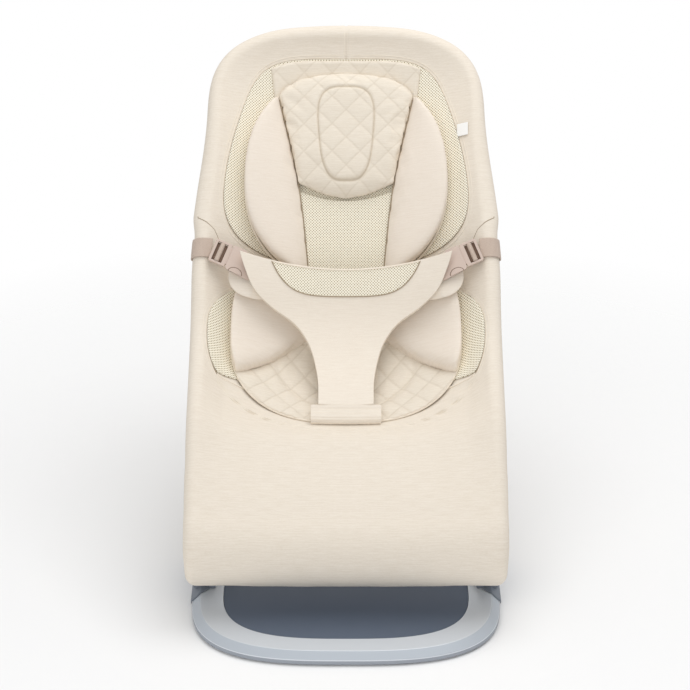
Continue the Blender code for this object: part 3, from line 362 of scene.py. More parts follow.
# %% Shader node helpers
def add_node(tree, kind, inputs=(), **settings):
    """Add a shader node: inputs maps a socket's name or number to a value or to another socket."""
    node = tree.nodes.new("ShaderNode" + kind)
    for key, value in settings.items():
        setattr(node, key, value)
    for key, value in dict(inputs).items():
        if isinstance(value, bpy.types.NodeSocket):
            tree.links.new(value, node.inputs[key])
        else:
            node.inputs[key].default_value = value
    return node


def maths(tree, operation, *values):
    """A Math node's result."""
    return add_node(tree, "Math", enumerate(values), operation=operation).outputs[0]


def blend_colours(tree, share, first, second, kind="MIX"):
    """A Mix node's colour, where share goes from the first colour to the second."""
    node = add_node(tree, "Mix", {0: share}, data_type="RGBA", blend_type=kind)
    for number, value in ((6, first), (7, second)):
        if isinstance(value, bpy.types.NodeSocket):
            tree.links.new(value, node.inputs[number])
        else:
            node.inputs[number].default_value = (*value[:3], 1.0)
    return node.outputs[2]


def new_group(name, outputs):
    """A node group with one vector input and some float outputs: (group, vector, output node)."""
    group = bpy.data.node_groups.new(name, "ShaderNodeTree")
    group.interface.new_socket("Place", in_out="INPUT", socket_type="NodeSocketVector")
    for title in outputs:
        group.interface.new_socket(title, in_out="OUTPUT", socket_type="NodeSocketFloat")
    start = group.nodes.new("NodeGroupInput")
    end = group.nodes.new("NodeGroupOutput")
    return group, start.outputs[0], end


def scaled(tree, place, scale, turn=0.0):
    """The pattern's place, turned and scaled."""
    mapping = add_node(tree, "Mapping", {"Vector": place, "Scale": scale, "Rotation": (0, 0, turn)})
    return mapping.outputs[0]


# %% [markdown]
# ### Heather
# The cover's yarns aren't dyed evenly, so the cloth has thin streaks that run across it. Noise that
# is stretched along the yarn gives them, in two sizes. The weave itself is a pair of crossing waves,
# too small to see from a step away, but it catches the light up close.

# %% Heather group
YARNS_PER_METRE = 900


def make_heather():
    """Streaks: 0 to 1, light where the yarn is pale. Height: the weave, 0 to 1."""
    group, place, end = new_group("heather", ("Streaks", "Height"))
    long_streaks = add_node(group, "TexNoise", {
        "Vector": scaled(group, place, (45, 620, 1)), "Scale": 1.0, "Detail": 3.0, "Roughness": 0.65})
    short_streaks = add_node(group, "TexNoise", {
        "Vector": scaled(group, place, (260, 1500, 1)), "Scale": 1.0, "Detail": 2.0, "Roughness": 0.6})
    streaks = maths(group, "ADD", maths(group, "MULTIPLY", long_streaks.outputs[0], 0.6),
                    maths(group, "MULTIPLY", short_streaks.outputs[0], 0.4))
    group.links.new(streaks, end.inputs["Streaks"])
    parts = add_node(group, "SeparateXYZ", {0: place})
    across = maths(group, "SINE", maths(group, "MULTIPLY", parts.outputs[0], 2 * math.pi * YARNS_PER_METRE))
    along = maths(group, "SINE", maths(group, "MULTIPLY", parts.outputs[1], 2 * math.pi * YARNS_PER_METRE))
    weave = maths(group, "MULTIPLY_ADD", maths(group, "MULTIPLY", across, along), 0.5, 0.5)
    height = maths(group, "ADD", maths(group, "MULTIPLY", weave, 0.35),
                   maths(group, "MULTIPLY", streaks, 0.65))
    group.links.new(height, end.inputs["Height"])
    return group


heather = make_heather()

# %% [markdown]
# ### Spacer knit
# The see-through panels are a spacer knit: two open faces held apart by fine threads. Its holes sit
# in a square net that stands on its corner. Two waves at right angles, turned by 45 degrees, are both
# low at the holes, and their product gives the mask.

# %% Knit group
HOLE_PITCH = 0.0026


def make_knit():
    """Hole: 1 in the middle of a hole. Height: high on the threads."""
    group, place, end = new_group("spacer_knit", ("Hole", "Height"))
    turned = add_node(group, "SeparateXYZ", {0: scaled(group, place, (1, 1, 1), math.radians(45))})
    waves = []
    for axis in (0, 1):
        wave = maths(group, "SINE", maths(group, "MULTIPLY", turned.outputs[axis], math.pi / HOLE_PITCH))
        waves.append(maths(group, "MULTIPLY", wave, wave))
    dots = maths(group, "MULTIPLY", *waves)
    hole = add_node(group, "MapRange", {0: dots, 1: 0.30, 2: 0.80}, interpolation_type="SMOOTHSTEP")
    group.links.new(hole.outputs[0], end.inputs["Hole"])
    group.links.new(maths(group, "SUBTRACT", 1.0, dots), end.inputs["Height"])
    return group


knit = make_knit()

# %% [markdown]
# ### Webbing
# The straps are woven with a fine herringbone rib. Its waves run along the strap and lean one way and
# then the other across it.

# %% Webbing group
RIB_PITCH = 0.0016


def make_rib():
    """Height: the herringbone rib, 0 to 1. The pattern's x runs along the strap, and y across it."""
    group, place, end = new_group("webbing_rib", ("Height",))
    parts = add_node(group, "SeparateXYZ", {0: place})
    lean = maths(group, "PINGPONG", parts.outputs[1], 0.0031)
    phase = maths(group, "ADD", parts.outputs[0], maths(group, "MULTIPLY", lean, 0.8))
    wave = maths(group, "SINE", maths(group, "MULTIPLY", phase, 2 * math.pi / RIB_PITCH))
    group.links.new(maths(group, "MULTIPLY_ADD", wave, 0.5, 0.5), end.inputs["Height"])
    return group


rib = make_rib()

# %% [markdown]
# ### Fine grain
# Moulded plastic and powder coat are never quite smooth. A small noise in the object's own space
# roughens both a little.

# %% Grain group
def make_grain():
    """Height: a fine even grain, 0 to 1."""
    group, place, end = new_group("grain", ("Height",))
    noise_node = add_node(group, "TexNoise", {"Vector": place, "Scale": 1600.0, "Detail": 2.0})
    group.links.new(noise_node.outputs[0], end.inputs["Height"])
    return group


grain = make_grain()

# %% [markdown]
# ### Materials
# Each finish is one Principled shader. A woven or knitted one mixes two colours by its group's mask,
# and its group's height makes the bump. A plain one has an even colour and a fine grain. Roughness,
# sheen and coat are even over a piece, so they are set on the shader itself.

# %% Material helpers
def new_material(name, roughness, sheen=0.0, specular=0.5, coat=0.0):
    """A material with one Principled shader, whose even values are set on its own sockets."""
    material = bpy.data.materials.new(name)
    material.use_nodes = True
    shader = material.node_tree.nodes["Principled BSDF"]
    shader.inputs["Roughness"].default_value = roughness
    shader.inputs["Sheen Weight"].default_value = sheen
    shader.inputs["Sheen Roughness"].default_value = 0.5
    shader.inputs["Specular IOR Level"].default_value = specular
    shader.inputs["Coat Weight"].default_value = coat
    shader.inputs["Coat Roughness"].default_value = 0.25
    return material, material.node_tree, shader


def use_group(tree, group, place):
    """Put a node group into a material."""
    node = tree.nodes.new("ShaderNodeGroup")
    node.node_tree = group
    tree.links.new(place, node.inputs[0])
    return node


def bump(tree, shader, height, depth, strength=1.0):
    """Turn a height into the shader's normal, with its depth in metres."""
    node = add_node(tree, "Bump", {"Height": height, "Distance": depth, "Strength": strength})
    tree.links.new(node.outputs[0], shader.inputs["Normal"])


def cut_place(tree):
    """The place on the flat pattern, in metres."""
    return add_node(tree, "UVMap", uv_map="cut").outputs[0]


# SEAM_SHADE is painted shade: the cloth darkens towards it where the seam attribute marks a sewn groove.
SEAM_SHADE = srgb(176, 158, 130)


def woven_material(name, pale, dark, contrast=1.0):
    """Heathered cloth between two colours, with painted shade towards SEAM_SHADE along sewn lines."""
    material, tree, shader = new_material(name, 0.92, sheen=0.12, specular=0.2)
    weave = use_group(tree, heather, cut_place(tree))
    low, high = 0.5 - 0.16 / contrast, 0.5 + 0.16 / contrast
    share = add_node(tree, "MapRange", {0: weave.outputs["Streaks"], 1: low, 2: high}).outputs[0]
    seam = add_node(tree, "Attribute", attribute_name="seam").outputs["Fac"]
    yarn = blend_colours(tree, share, dark, pale)
    tree.links.new(blend_colours(tree, seam, yarn, SEAM_SHADE), shader.inputs["Base Color"])
    bump(tree, shader, weave.outputs["Height"], 0.00025)
    return material


def knit_material(name, thread, hole):
    """Open spacer knit: its holes are painted shade, and sink."""
    material, tree, shader = new_material(name, 0.9, sheen=0.1, specular=0.2)
    net = use_group(tree, knit, cut_place(tree))
    tree.links.new(blend_colours(tree, net.outputs["Hole"], thread, hole), shader.inputs["Base Color"])
    bump(tree, shader, net.outputs["Height"], 0.0007)
    return material


def plain_material(name, colour, roughness, grain_depth=0.0, metallic=0.0, coat=0.0, specular=0.5):
    """A moulded or coated surface with a fine grain."""
    material, tree, shader = new_material(name, roughness, coat=coat, specular=specular)
    shader.inputs["Base Color"].default_value = (*colour, 1.0)
    shader.inputs["Metallic"].default_value = metallic
    if grain_depth:
        place = add_node(tree, "TexCoord").outputs["Object"]
        bump(tree, shader, use_group(tree, grain, place).outputs["Height"], grain_depth)
    return material


# %% The bouncer's finishes
cover_cloth = woven_material("heathered cover", srgb(240, 231, 218), srgb(228, 217, 201))
jersey = woven_material("smooth jersey", srgb(241, 231, 219), srgb(232, 220, 205), 0.8)
quilted_cloth = woven_material("quilted heather", srgb(238, 229, 215), srgb(227, 216, 199))
harness_cloth = woven_material("harness heather", srgb(243, 234, 221), srgb(232, 221, 206), 0.8)
# The knit's hole colour is painted shade, for the shade down in its holes.
mesh_knit = knit_material("spacer mesh", srgb(253, 247, 230), srgb(152, 128, 74))
thread_material = plain_material("thread", srgb(240, 231, 216), 0.8)
# The seam line colour is painted shade: thin dark lines where seams and edges sink into the cloth.
seam_shade_material = plain_material("seam line", srgb(164, 148, 126), 0.9)
piping_material = plain_material("piping", srgb(240, 230, 215), 0.9, specular=0.2)
label_cloth = plain_material("blank tab", srgb(248, 247, 244), 0.85, 0.0001)

webbing_material, webbing_tree, webbing_shader = new_material("webbing", 0.8, sheen=0.15, specular=0.3)
webbing_rib = use_group(webbing_tree, rib, cut_place(webbing_tree))
webbing_tree.links.new(
    blend_colours(webbing_tree, webbing_rib.outputs["Height"], srgb(192, 172, 156), srgb(217, 199, 185)),
    webbing_shader.inputs["Base Color"],
)
bump(webbing_tree, webbing_shader, webbing_rib.outputs["Height"], 0.0003)

COAT_GRAIN = 0.00003
ring_metal = plain_material("powder coated ring", srgb(208, 213, 219), 0.42, COAT_GRAIN, 0.2, 0.15)
# The chamfer's and the rim's darker greys are painted shade on the ring's one powder coat.
chamfer_painted_shade = plain_material("ring chamfer painted shade", srgb(176, 183, 191), 0.45, COAT_GRAIN, 0.1, 0.15)
tube_metal = plain_material("powder coated tube", srgb(188, 193, 198), 0.38, COAT_GRAIN, coat=0.15)
rim_painted_shade = plain_material("ring rim painted shade", srgb(150, 156, 165), 0.45, COAT_GRAIN)
panel_plastic = plain_material("slate panel", srgb(83, 94, 111), 0.62, 0.0001)
hinge_plastic = plain_material("hinge covers", srgb(110, 117, 127), 0.5, 0.00006)
button_plastic = plain_material("recline button", srgb(92, 98, 108), 0.42, 0.00004)
buckle_plastic = plain_material("buckle", srgb(205, 186, 174), 0.45, 0.00005)
rubber = plain_material("rubber", srgb(48, 48, 50), 0.85, 0.0001, specular=0.3)
steel = plain_material("steel", srgb(178, 180, 184), 0.28, metallic=1.0)
print(len(bpy.data.materials), "finishes")


# %% [markdown]
# ## Hard parts
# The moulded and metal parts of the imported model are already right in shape, so most of them only get
# their finish. Each keeps its own body, so it still moves with its joint.

# %% Finish the hard parts
def paint(obj, material):
    """Give a piece one finish."""
    obj.data.materials.clear()
    obj.data.materials.append(material)
    return obj


SIDES = ("left", "right")
for side in SIDES:
    for node, material in (
        ("hinge_inner_shell", hinge_plastic),
        ("hinge_outer_shell", hinge_plastic),
        ("seat_hub", tube_metal),
        ("recline_button", button_plastic),
        ("hinge_pin", steel),
        ("lock_spring", steel),
        ("foot_front", rubber),
        ("foot_rear", rubber),
        ("buckle_tongue", buckle_plastic),
        ("buckle_socket", buckle_plastic),
    ):
        paint(frame["nodes"][f"{node}_{side}"], material)
paint(frame["nodes"]["base_panel"], panel_plastic)
print(len(frame["nodes"]), "nodes came with the model")


def sign_of(side):
    """-1 for the left side, 1 for the right."""
    return -1 if side == "left" else 1


# %% [markdown]
# ## Tubes
# The rail is one tube a side, bent at the foot, and a third piece that closes the loop behind the head
# and meets both. They are drawn again with a rounder section, as a curve with a bevel, because a curve
# keeps the same section round every bend.

# %% Tubes
TUBE_RADIUS = 0.0090
RAIL_JOINT_S = 0.345
RAIL_JOINT_GAP = 0.0003
RAIL_POINTS = 90


def outline_points(start, count):
    """Places (x, s) evenly spaced on the rail's right half, from a length to the top of the loop."""
    s = LOOP_TOP - (LOOP_TOP - start) * np.linspace(1.0, 0.0, 4000) ** 2
    x = rail_half(s)
    travelled = np.concatenate([[0.0], np.cumsum(np.hypot(np.diff(x), np.diff(s)))])
    even = np.linspace(0.0, travelled[-1], count)
    return np.interp(even, travelled, x), np.interp(even, travelled, s), travelled[-1]


def add_spline(curve, places):
    """A straight-sided spline through some places."""
    spline = curve.splines.new("POLY")
    spline.points.add(len(places) - 1)
    for point, place in zip(spline.points, places):
        point.co = (*place, 1.0)
    return spline


def bent_tube(name, points, radius):
    """A round tube along some points, kept as a mesh."""
    curve = bpy.data.curves.new(name, "CURVE")
    curve.dimensions = "3D"
    curve.bevel_depth = radius
    curve.bevel_resolution = 6
    curve.use_fill_caps = True
    add_spline(curve, points)
    obj = bpy.data.objects.new(name, curve)
    scene.collection.objects.link(obj)
    mesh = bpy.data.meshes.new_from_object(obj)
    bpy.data.objects.remove(obj)
    tube = bpy.data.objects.new(name, mesh)
    scene.collection.objects.link(tube)
    mesh.shade_smooth()
    return tube


lengths = np.linspace(0.0, RAIL_JOINT_S, RAIL_POINTS)
for side in SIDES:
    rail_places = seat_places(sign_of(side) * rail_half(lengths), lengths, 0.0)
    lower = bent_tube(f"lower_tube_{side}", rail_places, TUBE_RADIUS)
    paint(lower, tube_metal)
    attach(lower, "seat")
    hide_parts(f"lower_rail_{side}")
loop_x, loop_s, loop_length = outline_points(RAIL_JOINT_S + RAIL_JOINT_GAP, RAIL_POINTS)
both_x = np.concatenate([loop_x, -loop_x[-2::-1]])
both_s = np.concatenate([loop_s, loop_s[-2::-1]])
loop_places = seat_places(both_x, both_s, 0.0)
head_loop = bent_tube("head_loop", loop_places, TUBE_RADIUS)
paint(head_loop, tube_metal)
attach(head_loop, "seat")
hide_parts("head_tube")
print("the head loop's tube is about", round(2 * loop_length, 3), "m long")

# %% [markdown]
# ## Base ring
# The ring is pressed from sheet steel and powder coated: a flat band, a wide chamfer on the outside
# and a short upright edge. Its outline is a superellipse, which is rounder than a rectangle with
# fillets. A grid is rolled up into the ring: its columns go round the outline, which shrinks from
# row to row as the profile says, and its edges are merged. The chamfer and the upright edge get
# painted shade: each is a thin ring of its own over the pressed one, in a darker grey than the band.

# %% Base ring
RING_HALF_WIDTH = 0.192
RING_FRONT_DEPTH = 0.160
RING_REAR_DEPTH = 0.130
RING_POWER = 3.0
RING_BAND = 0.0385
RING_CHAMFER = (0.0100, 0.0075)
RING_FOLD = (0.0015, 0.0030)
RING_ROUNDING = 0.0008
RING_SEGMENTS = 160
SHARP_ANGLE = 20
ring_low, ring_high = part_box("base_ring")


def ring_outline(inset):
    """Points of the ring's outline, moved inwards by an inset."""
    angles = np.linspace(0.0, 0.5 * math.pi, RING_SEGMENTS // 4, endpoint=False)
    half = RING_HALF_WIDTH - inset
    points = []
    for quarter in range(4):
        depth = (RING_REAR_DEPTH if quarter < 2 else RING_FRONT_DEPTH) - inset
        turned = angles + quarter * 0.5 * math.pi
        across, along = np.cos(turned), np.sin(turned)
        total = (abs(across) / half) ** RING_POWER + (abs(along) / depth) ** RING_POWER
        reach = total ** (-1 / RING_POWER)
        middle = ring_high.y - RING_REAR_DEPTH if quarter < 2 else ring_low.y + RING_FRONT_DEPTH
        points += list(zip(reach * across, middle + reach * along))
    return points


def ring_solid(name, profile, material):
    """A closed ring from a profile of (inset, height) corners, with its edges rounded."""
    bm = bmesh.new()
    bmesh.ops.create_grid(bm, x_segments=RING_SEGMENTS, y_segments=len(profile), size=1.0)
    rows = [ring_outline(inset) for inset, height in profile]
    for vert in bm.verts:
        column = round((vert.co.x + 1.0) * 0.5 * RING_SEGMENTS) % RING_SEGMENTS
        row = round((vert.co.y + 1.0) * 0.5 * len(profile)) % len(profile)
        vert.co = (*rows[row][column], profile[row][1])
    bmesh.ops.remove_doubles(bm, verts=bm.verts, dist=0.00001)
    bmesh.ops.recalc_face_normals(bm, faces=bm.faces)
    sharp = [e for e in bm.edges if e.is_manifold and math.degrees(e.calc_face_angle(0.0)) > SHARP_ANGLE]
    bmesh.ops.bevel(bm, geom=sharp, offset=RING_ROUNDING, offset_type="OFFSET", segments=3, profile=0.5,
                    affect="EDGES", material=-1)
    solid = paint(made(name, bm), material)
    weigh_normals(solid)
    return solid


# %% The ring and its strips of painted shade
run, drop = RING_CHAMFER
ring_profile = (
    (0.0, ring_low.z),
    (0.0, ring_high.z - drop),
    (run, ring_high.z),
    (RING_BAND, ring_high.z),
    (RING_BAND, ring_low.z + RING_FOLD[1]),
    (RING_BAND - RING_FOLD[0], ring_low.z),
)
ring = ring_solid("pressed_ring", ring_profile, ring_metal)
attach(ring, "base")
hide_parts("base_ring")
# The rim is painted shade: a darker strip over the ring's upright edge.
RIM_LAP = 0.0003
RIM_DEPTH = 0.0020
rim_top = ring_high.z - drop - 0.0010
rim_profile = ((-RIM_LAP, ring_low.z), (-RIM_LAP, rim_top), (RIM_DEPTH, rim_top), (RIM_DEPTH, ring_low.z))
rim = ring_solid("ring_rim_shade", rim_profile, rim_painted_shade)
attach(rim, "base")
# The chamfer strip is painted shade over the ring's chamfer.
chamfer_profile = (
    (-0.0001, ring_high.z - drop + 0.0001),
    (run - 0.0001, ring_high.z + 0.0002),
    (run - 0.0001, ring_high.z - 0.0020),
    (0.0015, ring_high.z - drop),
)
chamfer = ring_solid("ring_chamfer_shade", chamfer_profile, chamfer_painted_shade)
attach(chamfer, "base")
print("the ring is", round(2 * RING_HALF_WIDTH, 3), "m wide with", len(ring.data.polygons), "faces")

# %% [markdown]
# ### Hinge fairings
# Each hinge cover ends in a moulded fairing that grips the ring from outside: it runs from the ring's
# upright edge over the chamfer on to the flat band, and its front end is cut in a curve. A sheet that
# follows the ring's section, with a swell and a wall, makes it, and the left one is its mirror image.

# %% Hinge fairings
FAIRING_TIP_Y = -0.163
FAIRING_INNER_Y = -0.130
FAIRING_REAR_Y = -0.050
FAIRING_WIDTH = 0.0265
FAIRING_WALL = 0.0012
FAIRING_RISE = 0.0060
FAIRING_LOW = 0.0035
FAIRING_STOPS = (0.0, 0.18, 0.45, 1.0)


def ring_side(y):
    """Half width of the ring's outline at some y."""
    depth = np.where(y > ring_low.y + RING_FRONT_DEPTH, RING_REAR_DEPTH, RING_FRONT_DEPTH)
    return RING_HALF_WIDTH * (1.0 - (np.abs(y - ring_low.y - RING_FRONT_DEPTH) / depth) ** RING_POWER) ** (
        1.0 / RING_POWER)


def fairing_place(u, v):
    """Across the ring's section from outside to inside (u), and backwards from the curved cut (v)."""
    over = ring_high.z + FAIRING_WALL
    inset = np.interp(u, FAIRING_STOPS, (-FAIRING_WALL, -FAIRING_WALL, run, FAIRING_WIDTH))
    z = np.interp(u, FAIRING_STOPS, (ring_low.z + FAIRING_LOW, ring_high.z - drop, over, over))
    share = np.clip(inset / FAIRING_WIDTH, 0.0, 1.0)
    bow = (1.0 - share**1.5) ** (1 / 1.5)
    start = FAIRING_INNER_Y + (FAIRING_TIP_Y - FAIRING_INNER_Y) * bow
    y = start + (FAIRING_REAR_Y - start) * v
    swell = smoothstep((y - start) / 0.045) * smoothstep(1.0 - (share - 0.35) / 0.65) * smoothstep(u / 0.45)
    rolled = np.sqrt(np.clip((y - start) / 0.0015, 0.0, 1.0)) - 1.0
    return ring_side(y) - inset, y, z + FAIRING_RISE * swell + 0.0009 * rolled


for side in SIDES:
    fairing = grid(f"hinge_fairing_{side}", 48, 60, fairing_place)
    if side == "left":
        mirror(fairing)
    if fairing.data.polygons[len(fairing.data.polygons) // 2].normal.z < 0:
        fairing.data.flip_normals()
    thicken(fairing, 0.0011, -1.0)
    paint(fairing, hinge_plastic)
    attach(fairing, "base")
print("each fairing is", round(FAIRING_REAR_Y - FAIRING_TIP_Y, 3), "m long")

# %% [markdown]
# ## Sling
# The sling is one large sheet of heathered cloth that wraps the rails and sags between them. It is
# laid out in columns along the rail and rows across: first round the tube, then inwards to the middle
# of the seat. Both halves have the same flat pattern, mirrored. The frame holds it tight, so its sag
# is a formula and needs no simulation.

# %% Sling shape
COVER_COLUMNS = 300
COVER_WRAP_ROWS = 16
COVER_FREE_ROWS = 10
COVER_ROWS = 46
COVER_FIRST_SHARE = 1 / 6
HEM_LIFT = 0.0045
HEM_BOW = 0.0085
HEM_FADE = 0.080
HEM_SWELL = 0.0085
SIDE_EASE = 0.0045


# %% Places on the sling
def hem_bow(x, s):
    """How far the cloth hangs down towards its lower edge, most in the middle."""
    middle = 1.0 - np.minimum((x / rail_half(COVER_HEM_S)) ** 2, 1.0)
    return HEM_BOW * middle * smoothstep(1.0 - (s - COVER_HEM_S - HEM_LIFT) / HEM_FADE)


def cloth_middle(x, s):
    """Height of the middle of the cloth, which bellies out a little over its hem."""
    belly = hem_bow(x, s) * HEM_SWELL / HEM_BOW
    return sling(x, s) - 0.5 * COVER_THICKNESS + belly


def spoke(x, s, share):
    """A place on the way from the rail to the middle: the spokes fan out towards the head."""
    fan_start, spine_top = COVER_FAN
    spine = np.where(s > fan_start, fan_start + (spine_top - fan_start) * (s - fan_start)
                     / (LOOP_TOP - fan_start), s)
    return x * (1.0 - share), s + (spine - s) * share


def side_ease(s):
    """How far the cloth stands off the rail's outer side, above the straps that draw it in."""
    return SIDE_EASE * smoothstep((s - 0.560) / 0.030) * smoothstep(1.0 - (s - 0.620) / 0.140)


# %% Half of the sling
def make_sling():
    """The right half of the sling, with its flat pattern and its places on the seat."""
    x, s, length = outline_points(COVER_HEM_S + HEM_LIFT, COVER_COLUMNS + 1)
    tangent = np.stack([np.gradient(x), np.gradient(s)], axis=-1)
    tangent /= np.linalg.norm(tangent, axis=1, keepdims=True)
    tangent[-1] = (-1.0, 0.0)
    outward = np.stack([tangent[:, 1], -tangent[:, 0]], axis=-1)
    centre = seat_places(x, s, 0.0)
    lifted = seat_places(x, s, 1.0) - centre
    aside = seat_places(x + outward[:, 0] * 0.001, s + outward[:, 1] * 0.001, 0.0) - centre
    aside /= np.linalg.norm(aside, axis=1, keepdims=True)

    rows = COVER_WRAP_ROWS + COVER_FREE_ROWS + COVER_ROWS
    bm = bmesh.new()
    bmesh.ops.create_grid(bm, x_segments=COVER_COLUMNS, y_segments=rows, size=1.0)
    sheet = made("sling_cloth", bm)
    grid_places = points_of(sheet)
    column = np.rint((grid_places[:, 0] + 1.0) * 0.5 * COVER_COLUMNS).astype(int)
    row = np.rint((grid_places[:, 1] + 1.0) * 0.5 * rows).astype(int)

    first_x, first_s = spoke(x, s, COVER_FIRST_SHARE)
    inward = np.hypot(x - first_x, s - first_s)
    height = sling(first_x, first_s) - 0.5 * COVER_THICKNESS
    reach = np.hypot(inward, height)
    leaving = np.pi - np.arctan2(height, inward) - np.arccos(COVER_RADIUS / reach)
    start = math.radians(COVER_WRAP_START)
    turn = start + (leaving[column] - start) * np.minimum(row / COVER_WRAP_ROWS, 1.0)
    around_rail = np.cos(turn)[:, None] * aside[column] + np.sin(turn)[:, None] * lifted[column]
    wrapped = centre[column] + COVER_RADIUS * around_rail
    eased_out = (side_ease(s[column]) * np.maximum(np.cos(turn), 0.0))[:, None]
    wrapped = wrapped + eased_out * aside[column]
    out = (COVER_RADIUS * (leaving[column] - turn))[:, None]
    wrapped_flat = np.stack([x, s], axis=-1)[column] + outward[column] * out

    inner_row = row - COVER_WRAP_ROWS - COVER_FREE_ROWS
    share = COVER_FIRST_SHARE + (1 - COVER_FIRST_SHARE) * np.clip(inner_row / COVER_ROWS, 0.0, 1.0)
    inner_flat = np.stack(spoke(x[column], s[column], share), axis=-1)
    inner_x, inner_s = inner_flat.T
    hung_s = inner_s - hem_bow(inner_x, inner_s)
    drawn = seat_places(inner_x, hung_s, cloth_middle(inner_x, inner_s))
    free = np.clip((row - COVER_WRAP_ROWS) / COVER_FREE_ROWS, 0.0, 1.0)[:, None]
    pattern = wrapped_flat + (inner_flat - wrapped_flat) * free
    set_points(sheet, np.concatenate([pattern, 0.0 * pattern[:, :1]], axis=1))
    cut_map(sheet)
    set_points(sheet, wrapped + (drawn - wrapped) * free)

    aside_flat = outward[column] * ((COVER_RADIUS * np.cos(turn))[:, None] + eased_out)
    around = np.column_stack([np.stack([x, s], axis=-1)[column] + aside_flat, COVER_RADIUS * np.sin(turn)])
    across = np.column_stack([inner_x, hung_s, cloth_middle(inner_x, inner_s)])
    return sheet, pattern, around + (across - around) * free


# %% Height of the sling
sling_cloth, sling_pattern, sling_seat = make_sling()
sling_faces = [tuple(p.vertices) for p in sling_cloth.data.polygons]
sling_tree = BVHTree.FromPolygons([Vector(p) for p in sling_seat], sling_faces)


def cloth_top(x, s):
    """Height of the sling's upper side over the rail's centre line, at some places."""
    heights = []
    for place_x, place_s in zip(np.abs(x), s):
        hit = sling_tree.ray_cast(Vector((max(place_x, 0.0002), place_s, 1.0)), Vector((0.0, 0.0, -1.0)))[0]
        heights.append(hit.z if hit is not None else SLING_TOP - 0.5 * COVER_THICKNESS)
    return np.array(heights) + 0.5 * COVER_THICKNESS


print("half of the sling has", len(sling_cloth.data.vertices), "points")

# %% [markdown]
# ### Hem and creases
# A sewn hem is two layers thick, so the sling's lower edge gets a slight roll and a stitch line above
# it. Soft cloth is never quite even either: long, faint waves run across it where it turns over the
# nose, and small puckers sit under the seat where the insert is sewn on.

# %% Sling creases
HEM_WIDTH = 0.012
HEM_ROLL = 0.0012
CENTRE_SEAM_S = 0.800
PUCKER_MIDDLE_S = 0.400
PUCKER_REACH = (0.150, 0.095)
PUCKERS = 46


def crease(obj, pattern, amount):
    """Push each point along its normal by amount(x, s) of the flat pattern."""
    normals = np.empty(len(obj.data.vertices) * 3)
    obj.data.vertices.foreach_get("normal", normals)
    push = amount(pattern[:, 0], pattern[:, 1])
    set_points(obj, points_of(obj) + normals.reshape(-1, 3) * push[:, None])


def sling_creases(x, s):
    """Hem, centre seam, faint waves and puckers on the right half of the sling."""
    from_hem = s - COVER_HEM_S - HEM_LIFT
    hem = HEM_ROLL * smoothstep(1.0 - from_hem / HEM_WIDTH) * (1.0 - smoothstep(1.0 - from_hem / 0.002))
    stitch_line = -0.0007 * np.exp(-((from_hem - HEM_WIDTH) / 0.0012) ** 2)
    centre_seam = -0.0010 * np.exp(-((x / 0.0014) ** 2)) * (s > CENTRE_SEAM_S)
    beside_seam = 0.0004 * np.exp(-(((x - 0.0035) / 0.0022) ** 2)) * (s > CENTRE_SEAM_S)
    wave = 0.0009 * noise_at(0.35 * x, s, 0.030, 3.0) * smoothstep((0.30 - s) / 0.12)
    wave += 0.0006 * noise_at(x, 0.5 * s, 0.045, 8.0)
    along = np.arctan2(PUCKER_MIDDLE_S - s, x)
    reach = np.hypot(x / PUCKER_REACH[0], (s - PUCKER_MIDDLE_S) / PUCKER_REACH[1])
    band = np.exp(-(((reach - 1.06) / 0.10) ** 2)) * (s < PUCKER_MIDDLE_S - 0.015)
    puckers = 0.0006 * np.sin(along * PUCKERS) * band
    return hem + stitch_line + centre_seam + beside_seam + wave + puckers


sling_cloth.data.update()
crease(sling_cloth, sling_pattern, sling_creases)
with_mirror(sling_cloth)
thicken(sling_cloth, COVER_THICKNESS)
paint(sling_cloth, cover_cloth)
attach(sling_cloth, "seat")
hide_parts("seat_cover")
print("the sling has", len(sling_cloth.data.polygons), "faces")

# %% [markdown]
# ## Padded pieces
# Each pad is cut flat, as a closed form with a thin rim. Cloth simulation then blows it up a little
# from inside, which pulls its sides in and rounds its crown as stuffing does. Gravity is off, and no
# point may move further than a cap. After that its rim is drawn out to its seam lines again, so that
# neighbours meet there without crossing. A thin panel keeps its even thickness, so it is no more than
# a sheet with a rounded rim.

# %% Sizes of the inserts
PAD_GAP = 0.0012
MESH_THICKNESS = 0.0014
PAD_BASE = PAD_GAP + MESH_THICKNESS + 0.0007
UPPER_MIDDLE_BASE = PAD_BASE - 0.0004
UPPER_ROUND = (0.537, 0.620, 0.812)
UPPER_ROUND_HALF = 0.158
UPPER_ROUND_TAPER = 0.048
LOWER_ROUND = (0.436, 0.086, 0.118, 0.176, 2.6)
POCKET_TOP_S = 0.375
UPPER_INSERT = (0.640, 0.155, 0.126, 0.132, 2.3)
LOWER_INSERT = (0.435, 0.160, 0.106, 0.148, 2.4)
WING_INNER = ((0.500, 0.049), (0.538, 0.050), (0.647, 0.063), (0.760, 0.088))
PILLOW_ENDS = (0.627, 0.793)
PILLOW_CORNERS = (0.645, 0.756)
SEAT_SEAM = ((0.137, 0.395), (0.052, 0.449))
INSERT_SPLIT_S = 0.512
SEAM_GAP = 0.0004


# %% Outlines of the inserts
def upper_round(s):
    """Half width of the knit behind the back: sides that lean in, under a flat top."""
    low, middle, high = UPPER_ROUND
    up = np.clip((s - middle) / (high - middle), 0.0, 1.0)
    down = np.clip((middle - s) / (middle - low), 0.0, 1.0)
    side = UPPER_ROUND_HALF - UPPER_ROUND_TAPER * up**1.6
    return side * (1.0 - up**12) ** 0.25 * (1.0 - down**2.6) ** (1 / 2.6)


def egg(s, outline):
    """Half width of an egg outline at some lengths along the seat."""
    middle, above, below, half, power = outline
    t = np.minimum(np.abs(s - middle) / np.where(s > middle, above, below), 1.0)
    return half * (1.0 - t**power) ** (1.0 / power)


def lower_round(s):
    """Half width of the knit under the seat."""
    return egg(s, LOWER_ROUND)


def wing_inner(s):
    """The seam between the wings and what lies between them."""
    return eased(WING_INNER, s)


